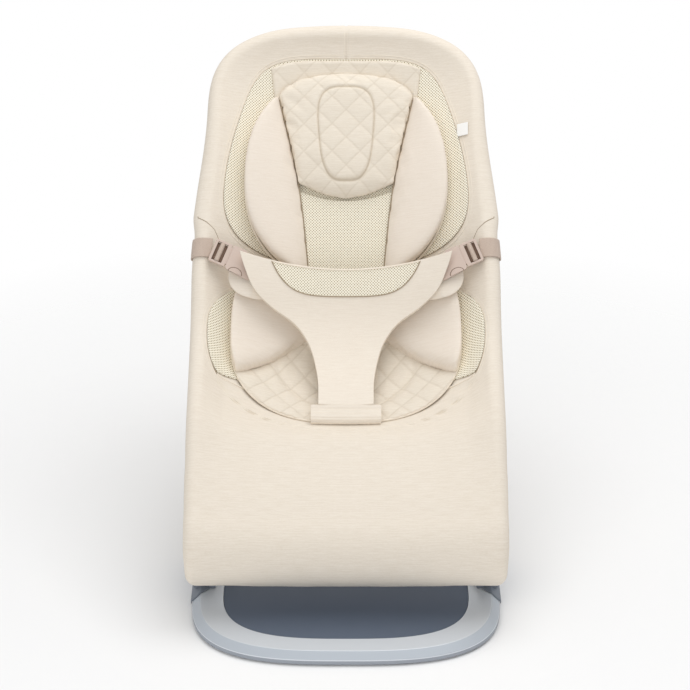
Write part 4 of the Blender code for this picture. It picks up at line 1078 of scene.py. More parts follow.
# %% Cutting a pad
def closed_pad(name, ends, edges, crown, rings=60, sides=72):
    """A closed flat form between two ends: edges(s) are its sides, crown(x, s) its thickness."""
    bm = bmesh.new()
    bmesh.ops.create_uvsphere(bm, u_segments=sides, v_segments=rings, radius=1.0)
    obj = made(name, bm)
    points = points_of(obj)
    along = points[:, 2]
    turn = np.arctan2(points[:, 1], points[:, 0])
    s = 0.5 * (ends[0] + ends[1]) + 0.5 * (ends[1] - ends[0]) * along
    left, right = edges(s)
    x = 0.5 * (left + right) + 0.5 * (right - left) * np.cos(turn) * (np.abs(along) < 0.9999)
    rise = np.sin(turn)
    thickness = crown(x, s) * np.sqrt(np.maximum(1.0 - along**6, 0.0))
    height = thickness * (0.5 + 0.5 * np.sign(rise) * np.abs(rise) ** 0.6)
    set_points(obj, np.stack([x, s, height], axis=-1))
    bm = bmesh.new()
    bm.from_mesh(obj.data)
    bmesh.ops.remove_doubles(bm, verts=bm.verts, dist=0.00002)
    bmesh.ops.recalc_face_normals(bm, faces=bm.faces)
    bm.to_mesh(obj.data)
    bm.free()
    return obj


RIM_SHARE = 0.4


def flat_pad(name, ends, edges, thickness, columns=110, rows=90):
    """An even padded panel with straight ends and rounded rims: edges(s) are its sides."""
    def place(u, v):
        s = ends[0] + (ends[1] - ends[0]) * v
        left, right = edges(s)
        return left + (right - left) * u, s, 0.5 * thickness

    panel = thicken(grid(name, columns, rows, place), thickness)
    rounding = panel.modifiers.new("rim", "BEVEL")
    rounding.width = RIM_SHARE * thickness
    rounding.segments = 4
    rounding.limit_method = "ANGLE"
    rounding.angle_limit = math.radians(50)
    return apply_modifiers(panel)


# %% Stuffing a pad
STUFFING_PRESSURE = 4.0
STUFFING_FRAMES = 20


def stuff(obj, cap=0.006, voxel=0.0045, levels=1):
    """Blow a flat pad up with cloth pressure, keep the result and round it."""
    remesh = obj.modifiers.new("remesh", "REMESH")
    remesh.mode = "VOXEL"
    remesh.voxel_size = voxel
    remesh.use_smooth_shade = True
    apply_modifiers(obj)
    start = points_of(obj)
    cloth = obj.modifiers.new("cloth", "CLOTH")
    cloth.settings.use_pressure = True
    cloth.settings.uniform_pressure_force = STUFFING_PRESSURE
    cloth.settings.effector_weights.gravity = 0.0
    cloth.settings.tension_stiffness = 25
    cloth.settings.compression_stiffness = 25
    cloth.settings.bending_stiffness = 1.5
    cloth.point_cache.frame_start = 1
    cloth.point_cache.frame_end = STUFFING_FRAMES
    for step in range(1, STUFFING_FRAMES + 1):
        scene.frame_set(step)
    apply_modifiers(obj)
    scene.frame_set(1)
    move = points_of(obj) - start
    distance = np.linalg.norm(move, axis=1, keepdims=True)
    set_points(obj, start + move * np.minimum(1.0, cap / np.maximum(distance, 1e-9)))
    subdivide = obj.modifiers.new("round", "SUBSURF")
    subdivide.levels = subdivide.render_levels = levels
    apply_modifiers(obj)
    obj.data.shade_smooth()
    return obj


def limit(obj, rule):
    """Keep a flat pad inside its own space: rule(x, s, h) gives the three back."""
    set_points(obj, np.stack(rule(*points_of(obj).T), axis=-1))


def draw_out(obj, ends, edges, bands=44):
    """Pull a stuffed pad's rim back out to its seam lines, which the stuffing drew in."""
    x, s, height = points_of(obj).T
    low, high = s.min(), s.max()
    s = ends[0] + (s - low) / (high - low) * (ends[1] - ends[0])
    stations = np.linspace(*ends, bands)
    band = np.clip(np.rint((s - ends[0]) / (ends[1] - ends[0]) * (bands - 1)).astype(int), 0, bands - 1)
    least, most = np.full(bands, np.inf), np.full(bands, -np.inf)
    np.minimum.at(least, band, x)
    np.maximum.at(most, band, x)
    kernel = np.array([0.25, 0.5, 0.25])
    least = np.convolve(np.pad(least, 1, "edge"), kernel, "valid")
    most = np.convolve(np.pad(most, 1, "edge"), kernel, "valid")
    left, right = np.interp(s, stations, least), np.interp(s, stations, most)
    share = np.clip((x - left) / np.maximum(right - left, 0.0001), 0.0, 1.0)
    wanted_left, wanted_right = edges(s)
    set_points(obj, np.stack([wanted_left + share * (wanted_right - wanted_left), s, height], axis=-1))
    return obj


# %% [markdown]
# ### Upper wings
# Two plump wings hold the head from the sides. Each is thin beside its seam and full at the outside,
# so its crown grows along a quarter of a sine. Only the right one is cut and stuffed.

# %% Upper wings
UPPER_WING_CROWN = (0.012, 0.022)
UPPER_WING_HIGHEST = 0.036
LEAST_WIDTH = 0.0005


def wing_edges(s):
    """The right wing's seam and its outer edge."""
    inner = wing_inner(s) + SEAM_GAP
    return inner, np.maximum(egg(s, UPPER_INSERT), inner + LEAST_WIDTH)


def wing_crown(x, s):
    """Thin beside the seam and full at the outside."""
    inner, outer = wing_edges(s)
    share = np.clip((x - inner) / (outer - inner), 0.0, 1.0)
    return 0.86 * (UPPER_WING_CROWN[0] + UPPER_WING_CROWN[1] * np.sin(0.5 * math.pi * share))


def no_higher(highest):
    """A rule for limit that keeps a pad above its ground and under a height."""
    return lambda x, s, h: (x, s, np.clip(h, 0.0, highest))


WING_ENDS = (INSERT_SPLIT_S + 0.002, 0.762)
upper_wing = closed_pad("upper_wing_right_pad", WING_ENDS, wing_edges, wing_crown)
limit(draw_out(stuff(upper_wing), WING_ENDS, wing_edges), no_higher(UPPER_WING_HIGHEST))
print("an upper wing is", round(float(points_of(upper_wing)[:, 2].max()) * 1000, 1), "mm thick")

# %% Finish and place a soft piece
def settle(obj, material, base, node=None, body="seat", ground=cloth_top):
    """Lay a flat piece, give it its finish and body, and let it stand for its plain solid."""
    lay_on_seat(obj, base, ground)
    paint(obj, material)
    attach(obj, body)
    if node:
        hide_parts(node)
    return obj


def top_of(obj, base):
    """A function that gives the height of a flat piece's upper side over its ground."""
    polygons = [tuple(p.vertices) for p in obj.data.polygons]
    tree = BVHTree.FromPolygons([Vector(p) for p in points_of(obj)], polygons)

    def height(x, s, missing=0.0):
        values = []
        for place in zip(np.atleast_1d(x), np.atleast_1d(s)):
            hit = tree.ray_cast(Vector((*place, 1.0)), Vector((0.0, 0.0, -1.0)))[0]
            values.append(hit.z if hit is not None else missing)
        return np.array(values) + base
    return height


upper_wing_left = mirrored(upper_wing, "upper_wing_left_pad")
settle(upper_wing, jersey, PAD_BASE, "upper_wing_right")
settle(upper_wing_left, jersey, PAD_BASE, "upper_wing_left")

# %% [markdown]
# ### Head pillow
# The pillow is quilted in diamonds, and a deeper channel round its middle leaves a rounded panel.
# Sewn channels are narrower than the simulation's points, so they come after it: every point near a
# line moves down, and the cloth between the lines stays full.

# %% Quilting
def diamonds(x, s, pitch, sharpness=0.35):
    """0 on the lines of a diamond quilt, and 1 in the middle of its fields."""
    first = np.abs(np.sin(math.pi * (x + s) / (pitch * math.sqrt(2.0))))
    second = np.abs(np.sin(math.pi * (x - s) / (pitch * math.sqrt(2.0))))
    return (first * second) ** sharpness


def channel(distance, width):
    """1 on a line and 0 away from it."""
    return np.exp(-((distance / width) ** 2))


def quilt_line(x, s, pitch, width=0.0009):
    """1 on the lines of a diamond quilt and 0 between them."""
    lines = 0.0
    for across in (x + s, x - s):
        rows = across / (pitch * math.sqrt(2.0))
        lines = np.maximum(lines, channel((rows - np.rint(rows)) * pitch, width))
    return lines


PILLOW_CROWN = (0.017, 0.006)
PILLOW_QUILT = 0.026
QUILT_SHIFT = 0.004
QUILT_SHADE = 0.18
PANEL_MIDDLE_S = 0.709
PANEL_HALF_LENGTH = 0.062
PANEL_POWER = 3.2


def pillow_edges(s):
    """The pillow fills the space between the wings, between two arcs."""
    low, high = PILLOW_CORNERS
    side = wing_inner(s) - SEAM_GAP
    under = side * np.sqrt(np.clip((s - PILLOW_ENDS[0]) / (low - PILLOW_ENDS[0]), 0.0, 1.0))
    over = side * (1.0 - np.clip((s - high) / (PILLOW_ENDS[1] - high), 0.0, 1.0) ** 2.2) ** (1 / 2.2)
    half = np.minimum(under, over)
    return -half, half


def pillow_crown(x, s):
    """Highest in the middle, and lower beside the wings."""
    edge, swell = PILLOW_CROWN
    return 0.88 * (edge + swell * (1.0 - (x / WING_INNER[-1][1]) ** 2))


def panel_distance(x, s):
    """Distance from the outline of the pillow's rounded panel, and the reach, under 1 inside it."""
    along = (s - PANEL_MIDDLE_S) / PANEL_HALF_LENGTH
    half = 0.0355 + 0.0050 * along
    reach = (np.abs(x / half) ** PANEL_POWER + np.abs(along) ** PANEL_POWER) ** (1 / PANEL_POWER)
    return (reach - 1.0) * half, reach


def pillow_seam_shade(x, s):
    """How much painted shade a place gets from the pillow's sewn lines: the quilt, faint, and the panel's
    channel.
    """
    quilt = QUILT_SHADE * quilt_line(x, s - QUILT_SHIFT, PILLOW_QUILT)
    return np.maximum(quilt, 0.55 * channel(panel_distance(x, s)[0], 0.0008))


def pillow_sewing(x, s, h):
    """Lower the sewn lines of the pillow's upper side."""
    distance, reach = panel_distance(x, s)
    raised = smoothstep((h - 0.008) / 0.006)
    quilt = 0.0014 * (diamonds(x, s - QUILT_SHIFT, PILLOW_QUILT) - 1.0)
    return x, s, h + raised * (quilt - 0.0022 * channel(distance, 0.0014) + 0.0008 * (reach < 1.0))


# %% Head pillow
pillow = closed_pad("head_pillow_pad", PILLOW_ENDS, pillow_edges, pillow_crown)
limit(draw_out(stuff(pillow, voxel=0.004, levels=2), PILLOW_ENDS, pillow_edges), no_higher(0.026))
# The pillow's sewn lines get painted shade through the seam attribute.
mark_seam_shade(pillow, pillow_seam_shade(*points_of(pillow)[:, :2].T))
limit(pillow, pillow_sewing)
settle(pillow, quilted_cloth, UPPER_MIDDLE_BASE, "head_pillow")
print("the pillow has", len(pillow.data.polygons), "faces")

# %% [markdown]
# ### Knit panels
# Two rounds of knit lie on the sling, in the seat and behind the back, and a third panel fills the
# space under the pillow between the wings. They are thin: a round is a sheet with a thickness, whose
# rows crowd together at its ends so that the outline stays smooth, and the third is an even pad.

# %% Knit panels
def knit_round(name, ends, half, node, start=-0.5 * math.pi):
    """A knit panel with a half width of half(s), laid on the sling. A start of 0 cuts it straight."""
    def place(u, v):
        turn = start + (0.5 * math.pi - start) * v
        share = (np.sin(turn) - math.sin(start)) / (1.0 - math.sin(start))
        s = ends[0] + (ends[1] - ends[0]) * share
        x = (2.0 * u - 1.0) * (half(s) + SEAM_GAP)
        slant = 0.26 * (LOWER_ROUND[3] - np.abs(x)) * (1.0 - share) if start == 0.0 else 0.0
        return x, s + slant, MESH_THICKNESS + 0.0 * x

    panel = grid(name, 130, 90, place)
    thicken(panel, MESH_THICKNESS, -1.0)
    return settle(panel, mesh_knit, PAD_GAP, node)


upper_ends = (UPPER_ROUND[0], UPPER_ROUND[2])
lower_ends = (LOWER_ROUND[0] - LOWER_ROUND[2], LOWER_ROUND[0] + LOWER_ROUND[1])
upper_knit = knit_round("upper_knit", upper_ends, upper_round, "upper_mesh")
lower_knit = knit_round("lower_knit", (POCKET_TOP_S, lower_ends[1]), lower_round, "lower_mesh", 0.0)

PANEL_ENDS = (INSERT_SPLIT_S - 0.010, PILLOW_ENDS[0] + 0.010)


def panel_edges(s):
    """The panel fills the space between the wings."""
    half = wing_inner(s) - SEAM_GAP
    return -half, half


def panel_limit(x, s, h):
    """The panel's top end follows the pillow's lower arc."""
    share = (s - PANEL_ENDS[0]) / (PANEL_ENDS[1] - PANEL_ENDS[0])
    return x, s - share * 0.012 * (1.0 - (x / 0.062) ** 2), h


back_panel = flat_pad("back_knit", PANEL_ENDS, panel_edges, 0.004, 70, 60)
limit(back_panel, panel_limit)
settle(back_panel, mesh_knit, UPPER_MIDDLE_BASE, "back_panel")
print("the upper knit has", len(upper_knit.data.polygons), "faces")

# %% [markdown]
# ### Quilted strip
# Over the pillow a quilted strip fills the top of the round, with a side seam at each end. It is thin,
# so it keeps its diamonds as a relief of the grid itself.

# %% Quilted strip
STRIP_LOW_S = 0.752
STRIP_HALF = (0.0935, 0.0055)
STRIP_RIM = 0.004
STRIP_RISE = (0.0030, 0.0010)


def round_top(x):
    """The upper end of the knit round at some x."""
    s = np.linspace(UPPER_ROUND[1], UPPER_ROUND[2], 600)
    return np.interp(np.abs(x), upper_round(s)[::-1], s[::-1])


def strip_place(u, v):
    """Across the seat (u), and from the strip's straight lower edge up to the round's end (v)."""
    across = 2.0 * u - 1.0
    top = round_top(sum(STRIP_HALF) * across) - 0.0015
    s = STRIP_LOW_S + (top - STRIP_LOW_S) * v
    x = across * (STRIP_HALF[0] + STRIP_HALF[1] * v)
    edge = np.minimum(np.minimum(u, 1.0 - u) * 0.19, np.minimum(v, 1.0 - v) * 0.05)
    rim = np.sqrt(np.clip(edge / STRIP_RIM, 0.0, 1.0))
    return x, s, rim * (STRIP_RISE[0] + STRIP_RISE[1] * diamonds(x, s - QUILT_SHIFT, PILLOW_QUILT))


strip = grid("quilted_strip", 170, 50, strip_place)
strip_x, strip_s = points_of(strip)[:, :2].T
# The strip's quilt lines get painted shade through the seam attribute.
mark_seam_shade(strip, QUILT_SHADE * quilt_line(strip_x, strip_s - QUILT_SHIFT, PILLOW_QUILT))
thicken(strip, 0.0010, -1.0)
settle(strip, quilted_cloth, PAD_GAP + MESH_THICKNESS)
print("the strip is", round(float(strip_x.max() - strip_x.min()), 3), "m wide")

# %% [markdown]
# ### Seat and hips
# The lower insert has two plain hip wings beside a quilted seat. They meet at two slanting seams that
# run up and inwards, so the wings' lower ends are cut along those lines, and both pieces reach a little
# past them. The seat is thin, so it gets a small cap and small voxels.

# %% Hip wings
LOWER_WING_CROWN = (0.014, 0.016)
(SEAM_X, SEAM_S), (CORNER_X, CORNER_S) = SEAT_SEAM
SEAM_SLOPE = (CORNER_S - SEAM_S) / (SEAM_X - CORNER_X)
SEAM_LAP = 0.0030
SEAT_LOW_S = LOWER_INSERT[0] - LOWER_INSERT[2]


def hip_edges(s):
    """The right hip wing's inner seam and its outer edge."""
    inner = np.where(s < CORNER_S, CORNER_X + (CORNER_S - s) / SEAM_SLOPE, CORNER_X) - SEAM_LAP
    return inner, np.maximum(egg(s, LOWER_INSERT), inner + LEAST_WIDTH)


def hip_crown(x, s):
    """Thin beside the seat and full at the outside."""
    share = np.clip((np.abs(x) - CORNER_X) / (LOWER_INSERT[3] - CORNER_X), 0.0, 1.0)
    return 0.86 * (LOWER_WING_CROWN[0] + LOWER_WING_CROWN[1] * np.sin(0.5 * math.pi * share))


HIP_ENDS = (SEAM_S - 0.002, INSERT_SPLIT_S - 0.001)
hip = closed_pad("hip_wing_right", HIP_ENDS, hip_edges, hip_crown)
limit(draw_out(stuff(hip), HIP_ENDS, hip_edges), no_higher(0.030))
hip_left = mirrored(hip, "hip_wing_left")
settle(hip, jersey, PAD_BASE, "lower_wing_right")
settle(hip_left, jersey, PAD_BASE, "lower_wing_left")

# %% Quilted seat
SEAT_CROWN = 0.0095
SEAT_QUILT = 0.025
SEAT_LEAST_HALF = 0.030
SEAT_FOLD = (0.148, 0.450, 0.149)


def seat_edges(s):
    """The insert's own outline below the slanting seams, and the seams above."""
    half = egg(s, LOWER_INSERT)
    above = s > SEAM_S
    seam = CORNER_X + np.maximum(CORNER_S - s, 0.0) / SEAM_SLOPE + SEAM_LAP
    half = np.where(above, np.minimum(half, seam), half)
    half = np.where(above, np.maximum(half, SEAT_LEAST_HALF), half)
    return -half, half


def pocket_drop(s):
    """How far the seat sinks towards its lower end, where no knit lies under it."""
    return (PAD_BASE - 0.0004) * smoothstep(1.0 - (s - SEAT_LOW_S) / 0.045)


def seat_ground(x, s):
    """The sling's upper side, lower where no knit lies under the seat."""
    return cloth_top(x, s) - pocket_drop(s)


def seat_sewing(x, s, h):
    """The seat's diamonds, and the soft fold that runs round inside its edge."""
    raised = smoothstep((h - 0.004) / 0.004)
    half_width, middle, half_length = SEAT_FOLD
    reach = np.hypot(x / half_width, (s - middle) / half_length)
    fold = channel(reach - 0.64, 0.030) * smoothstep((s - 0.310) / 0.02)
    quilt = 0.0022 * (diamonds(x, s, SEAT_QUILT) - 1.0)
    return x, s, h + raised * (quilt - 0.0024 * fold + 0.0006 * noise_at(x, s, 0.02, 5.0))


def seat_crown(x, s):
    """Even, and lower than the seat's own crown, because the stuffing adds the rest."""
    return 0.82 * SEAT_CROWN + 0.0 * x


SEAT_ENDS = (SEAT_LOW_S, INSERT_SPLIT_S - 0.012)
seat_pad = closed_pad("quilted_seat", SEAT_ENDS, seat_edges, seat_crown, 80, 90)
limit(draw_out(stuff(seat_pad, cap=0.003, voxel=0.0032), SEAT_ENDS, seat_edges, 70), no_higher(0.0105))
# The seat's quilt lines get painted shade through the seam attribute.
mark_seam_shade(seat_pad, 0.25 * quilt_line(*points_of(seat_pad)[:, :2].T, SEAT_QUILT))
limit(seat_pad, seat_sewing)
settle(seat_pad, quilted_cloth, PAD_BASE, "seat_pad", "seat", seat_ground)
print("the seat has", len(seat_pad.data.polygons), "faces")

# %% [markdown]
# ## Harness
# The harness is one padded front piece: a narrow foot that widens to two ears, with a knit panel over
# the chest. It stands clear of the seat on its own ground, which rises towards the ears. Its padding
# is thin and even, so it is a flat pad, whose top edge is then bent up to the ears.

# %% Harness
HARNESS_THICKNESS = 0.0075
HARNESS_FOOT_S = 0.346
HARNESS_TOP_S = 0.523
HARNESS_EAR_RISE = 0.013
HARNESS_EDGE = (
    (0.346, 0.035),
    (0.389, 0.036),
    (0.420, 0.042),
    (0.441, 0.051),
    (0.460, 0.068),
    (0.475, 0.096),
    (0.492, 0.117),
    (0.518, 0.130),
    (0.536, 0.136),
)
HARNESS_HEIGHTS = ((0.346, -0.039), (0.400, -0.035), (0.450, -0.027), (0.500, -0.014), (0.540, -0.006))
HARNESS_EAR_HEIGHT = 0.034
HARNESS_REACH = HARNESS_EDGE[-1][1]
HARNESS_EDGE_END = HARNESS_EDGE[-1][0]


def harness_ground(x, s):
    """The middle of the harness over the rail's centre line."""
    return eased(HARNESS_HEIGHTS, s) + HARNESS_EAR_HEIGHT * (x / HARNESS_REACH) ** 2


def harness_edges(s):
    """Its sides, from stations that are given up to the ears' tips."""
    share = (s - HARNESS_FOOT_S) / (HARNESS_TOP_S - HARNESS_FOOT_S)
    half = eased(HARNESS_EDGE, HARNESS_FOOT_S + (HARNESS_EDGE_END - HARNESS_FOOT_S) * share)
    return -half, half


def harness_rise(x, s, h):
    """The top edge rises towards the ears, and the form is centred on its ground."""
    share = np.clip((s - HARNESS_FOOT_S) / (HARNESS_TOP_S - HARNESS_FOOT_S), 0.0, 1.0)
    rise = HARNESS_EAR_RISE * (x / HARNESS_REACH) ** 2
    return x, s + rise * share, np.clip(h, 0.0, HARNESS_THICKNESS) - 0.5 * HARNESS_THICKNESS


harness = flat_pad("harness_front", (HARNESS_FOOT_S + 0.0005, HARNESS_TOP_S - 0.0005), harness_edges,
                   0.92 * HARNESS_THICKNESS)
limit(harness, harness_rise)
harness_top = top_of(harness, 0.0)
settle(harness, harness_cloth, 0.0, "harness", "harness", harness_ground)
print("the harness is", round(2 * float(harness_edges(HARNESS_TOP_S)[1]), 3), "m wide at its ears")

# %% [markdown]
# ### Chest panel
# A crescent of the same knit shows at the harness's top edge, between a narrow hem and a curved lower
# seam that meet in two corners. A thin sheet is laid on the harness: ray casts on its flat form give
# the height.

# %% Chest panel
CHEST_HALF = 0.095
CHEST_DEPTH = 0.036
CHEST_HEM = 0.0022


def chest_high(x):
    """The upper edge of the knit, a narrow hem below the harness's own."""
    return HARNESS_TOP_S + HARNESS_EAR_RISE * (x / HARNESS_REACH) ** 2 - CHEST_HEM


def chest_low(x):
    """The lower edge of the knit, which meets the upper one in two corners."""
    share = (1.0 - np.minimum(np.abs(x) / CHEST_HALF, 1.0) ** 5) ** 0.95
    corner = chest_high(CHEST_HALF)
    return corner - (corner - HARNESS_TOP_S + CHEST_DEPTH) * share


def chest_place(u, v):
    """Across the crescent (u), and from its lower to its upper edge (v)."""
    x = CHEST_HALF * np.sin((u - 0.5) * math.pi)
    top = chest_high(x)
    low = np.minimum(chest_low(x), top - 0.0002)
    s = low + (top - low) * v
    return x, s, harness_top(x, s, 0.003) + 0.0005


chest = grid("chest_knit", 90, 26, chest_place)
thicken(chest, 0.0006, -1.0)
settle(chest, mesh_knit, 0.0, None, "harness", harness_ground)
print("the chest panel is", 2 * CHEST_HALF, "m wide")

# %% [markdown]
# ### Crotch band
# A folded band of cloth holds the harness's foot to the seat. It starts under the seat's lower edge,
# wraps its rounded rim and climbs to the foot, so its ground is a formula with those three stretches.

# %% Crotch band
CROTCH_HALF = 0.0445
CROTCH_S = (0.3255, 0.3465)
CROTCH_THICKNESS = 0.004
CROTCH_PRESSED_S = (0.3415, 0.3290)
BAND_GAP = 0.0006 + 0.5 * CROTCH_THICKNESS


def band_ground(x, s):
    """The band wraps the seat's rounded lower edge and rises to the harness's foot."""
    share = np.clip((s - CROTCH_S[0]) / (CROTCH_S[1] - CROTCH_S[0]), 0.0, 1.0)
    over = np.clip((s - SEAT_LOW_S + 0.003) / 0.014, 0.0, 1.0)
    rim = np.sqrt(1.0 - (1.0 - over) ** 2)
    clear = sling(x, s) + PAD_BASE - pocket_drop(s) + SEAT_CROWN * rim + BAND_GAP
    foot = float(eased(HARNESS_HEIGHTS, HARNESS_FOOT_S)) + 0.5 * (HARNESS_THICKNESS - CROTCH_THICKNESS)
    return clear + (np.maximum(foot, clear) - clear) * share


def band_lines(x, s, h):
    """Two seams across the band press into it."""
    pressed = sum(channel(s - place, 0.0009) for place in CROTCH_PRESSED_S)
    return x, s, h - 0.0006 * pressed * (h > 0.001) - 0.5 * CROTCH_THICKNESS


def band_edges(s):
    """Its straight sides."""
    half = CROTCH_HALF + 0.0 * s
    return -half, half


crotch = flat_pad("crotch_band_pad", CROTCH_S, band_edges, CROTCH_THICKNESS, 60, 60)
limit(crotch, band_lines)
crotch_top = top_of(crotch, 0.0)
settle(crotch, harness_cloth, 0.0, "crotch_band", "seat", band_ground)
print("the band is", 2 * CROTCH_HALF, "m wide")

# %% [markdown]
# ## Piping and stitches
# Seams read from their thread. A seam's path is drawn on the flat pattern and laid on the cloth. A thin
# tube along it makes piping, and short dashes over a thin line of painted shade make stitches: one curve
# with a spline for each stitch, so that hundreds of them stay light. Dark tubes along edges and seams are
# painted shade too.

# %% Paths and stitches
STITCH = 0.0024
STITCH_GAP = 0.0014
STITCH_STEPS = 5
SHADE_LINE_RADIUS = 0.8


def on_cloth(x, s, lift):
    """Places on the sling, a little above it."""
    return seat_places(x, s, cloth_top(x, s) + lift)


def evenly(points, step):
    """The same path with points at an even step."""
    travelled = np.concatenate([[0.0], np.cumsum(np.linalg.norm(np.diff(points, axis=0), axis=1))])
    even = np.arange(0.0, travelled[-1], step)
    return np.column_stack([np.interp(even, travelled, points[:, axis]) for axis in range(3)])


def stitches(name, paths, body, radius=0.00048):
    """Dashes of thread along some paths, over a thin line of painted shade between the dashes."""
    curve = bpy.data.curves.new(name, "CURVE")
    curve.dimensions = "3D"
    curve.bevel_depth = radius
    curve.bevel_resolution = 1
    curve.use_fill_caps = True
    step = (STITCH + STITCH_GAP) / STITCH_STEPS
    for path in paths:
        places = evenly(np.asarray(path), step)
        for start in range(0, len(places) - 3, STITCH_STEPS):
            add_spline(curve, places[start:start + 4])
        # The line under the dashes is painted shade.
        shade_line = add_spline(curve, places)
        for point in shade_line.points:
            point.radius = SHADE_LINE_RADIUS
        shade_line.material_index = 1
    obj = bpy.data.objects.new(name, curve)
    scene.collection.objects.link(obj)
    curve.materials.append(thread_material)
    curve.materials.append(seam_shade_material)
    mesh = bpy.data.meshes.new_from_object(obj)
    bpy.data.objects.remove(obj)
    mesh.shade_smooth()
    sewn = bpy.data.objects.new(name, mesh)
    scene.collection.objects.link(sewn)
    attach(sewn, body)


def piping(name, path, radius, body, material=piping_material):
    """A thin round edge along a path."""
    tube = bent_tube(name, path, radius)
    paint(tube, material)
    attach(tube, body)


def round_path(half, low, high, offset):
    """Places (x, s) once round an outline with a half width of half(s), moved outwards by an offset."""
    turn = np.linspace(-0.5 * math.pi, 1.5 * math.pi, 500)
    s = 0.5 * (low + high) + 0.5 * (high - low) * np.sin(turn)
    x = half(s) * np.where(np.cos(turn) >= 0.0, 1.0, -1.0)
    flat = evenly(np.column_stack([x, s, 0.0 * s]), 0.002)[:, :2]
    along = np.gradient(flat, axis=0)
    along /= np.linalg.norm(along, axis=1, keepdims=True)
    moved = flat + offset * np.column_stack([along[:, 1], -along[:, 0]])
    return moved.T


# %% Seams of the sling and the knit rounds
seam_paths = []
for half, ends in ((upper_round, upper_ends), (lower_round, lower_ends)):
    for offset in (0.0022, 0.0056):
        seam_paths.append(on_cloth(*round_path(half, *ends, offset), 0.0002))
stitches("round_seam_stitches", seam_paths, "seat")
# The knit rounds' edges are thin lines of painted shade where the knit meets the cover.
piping("upper_round_edge_shade", on_cloth(*round_path(upper_round, *upper_ends, 0.0002), 0.0005), 0.0007, "seat",
       seam_shade_material)
knit_edge = round_path(lower_round, *lower_ends, 0.0002)
for side in SIDES:
    kept = knit_edge[:, (knit_edge[1] > POCKET_TOP_S) & (knit_edge[0] * sign_of(side) > 0.0)]
    piping(f"lower_round_edge_shade_{side}", on_cloth(*kept, 0.0005), 0.0007, "seat", seam_shade_material)
pocket_x = np.linspace(-0.99, 0.99, 160) * lower_round(POCKET_TOP_S)
piping("pocket_edge", on_cloth(pocket_x, 0.0 * pocket_x + POCKET_TOP_S, 0.0012), 0.0010, "seat")

centre_s = np.linspace(UPPER_ROUND[2] + 0.007, LOOP_TOP - 0.001, 60)
centre_paths = []
for sign in (-1, 1):
    centre_paths.append(on_cloth(sign * 0.0020 + 0.0 * centre_s, centre_s, 0.0003))
stitches("centre_seam_stitches", centre_paths, "seat")
hem_x = np.linspace(-rail_half(COVER_HEM_S), rail_half(COVER_HEM_S), 200)
hem_s = COVER_HEM_S + HEM_LIFT + HEM_WIDTH + 0.0 * hem_x
stitches("hem_stitches", [on_cloth(hem_x, hem_s - hem_bow(hem_x, hem_s), 0.0001)], "seat", 0.0003)
print("the rounds have", len(seam_paths), "rows of stitches")

# %% Darts at the sides
DART = ((0.194, 0.588), (0.180, 0.580), (0.170, 0.572), (0.166, 0.564), (0.164, 0.558))
dart_x, dart_s = np.array(DART).T
dart_turns = np.linspace(0, len(DART) - 1, 40)
# Each dart is a thin line of painted shade.
for side in SIDES:
    x = np.interp(dart_turns, range(len(DART)), dart_x)
    s = np.interp(dart_turns, range(len(DART)), dart_s)
    x = np.minimum(x, rail_half(s) + COVER_RADIUS * 0.9)
    piping(f"side_dart_shade_{side}", on_cloth(sign_of(side) * x, s, 0.0001), 0.0006, "seat", seam_shade_material)


# %% [markdown]
# ### Welts and seams of the inserts
# A thin welt closes the outer edge of each insert, and it stops where the harness or the pillow hides
# it. Where two pads meet, a thin line of painted shade at the bottom of the gap stands for their seam's
# shade.

# %% Welts of the inserts
WELT_INSET = 0.0007
WELT_LIFT = 0.0016
WELT_RADIUS = 0.0015


def welt(name, outline, ends, height):
    """A thin edge along the outside of an insert, on both sides."""
    low, high = outline[0] - outline[2], outline[0] + outline[1]
    path = round_path(lambda s: egg(s, outline), low, high, -WELT_INSET)
    for side in SIDES:
        wanted = (path[0] * sign_of(side) > 0.002) & (path[1] > ends[0]) & (path[1] < ends[1])
        x, s = path[:, wanted]
        piping(f"{name}_{side}", on_cloth(x, s, height - pocket_drop(s)), WELT_RADIUS, "seat")


welt("upper_insert_welt", UPPER_INSERT, (INSERT_SPLIT_S + 0.010, 0.755), PAD_BASE + WELT_LIFT)
welt("lower_insert_welt", LOWER_INSERT, (SEAT_LOW_S + 0.0004, 0.500), PAD_BASE + WELT_LIFT)

# %% Seams between the pads
wing_s = np.linspace(0.505, PILLOW_CORNERS[1], 120)
# These lines are painted shade at the bottom of the gaps beside the wings.
for side in SIDES:
    lift = PAD_BASE + np.linspace(0.0030, 0.0080, len(wing_s))
    seam_places = on_cloth(sign_of(side) * wing_inner(wing_s), wing_s, lift)
    piping(f"wing_seam_shade_{side}", seam_places, 0.0011, "seat", seam_shade_material)

# %% Stitches and piping of the harness and its band
BAND_STITCHES_S = (0.3400, 0.3355)
band_x = np.linspace(-CROTCH_HALF + 0.002, CROTCH_HALF - 0.002, 50)
band_paths = []
for place in BAND_STITCHES_S:
    band_s = np.full(50, place)
    lift = crotch_top(band_x, band_s, 0.0015)
    band_paths.append(seat_places(band_x, band_s, band_ground(band_x, band_s) + lift))
stitches("crotch_band_stitches", band_paths, "seat", 0.0003)


def on_harness(x, s, lift):
    """Places on the harness's front."""
    return seat_places(x, s, harness_ground(x, s) + harness_top(x, s, 0.003) + lift)


chest_x = CHEST_HALF * np.sin(np.linspace(-0.5 * math.pi, 0.5 * math.pi, 120))
chest_edge = on_harness(chest_x, chest_low(chest_x), 0.0006)
# The knit's lower edge is a thin line of painted shade.
piping("chest_knit_edge_shade", chest_edge, 0.0007, "harness", seam_shade_material)
piping("chest_top_edge", on_harness(chest_x, chest_high(chest_x) - 0.0002, 0.0007), 0.0008, "harness")
print("the chest panel has an edge of", len(chest_edge), "points")

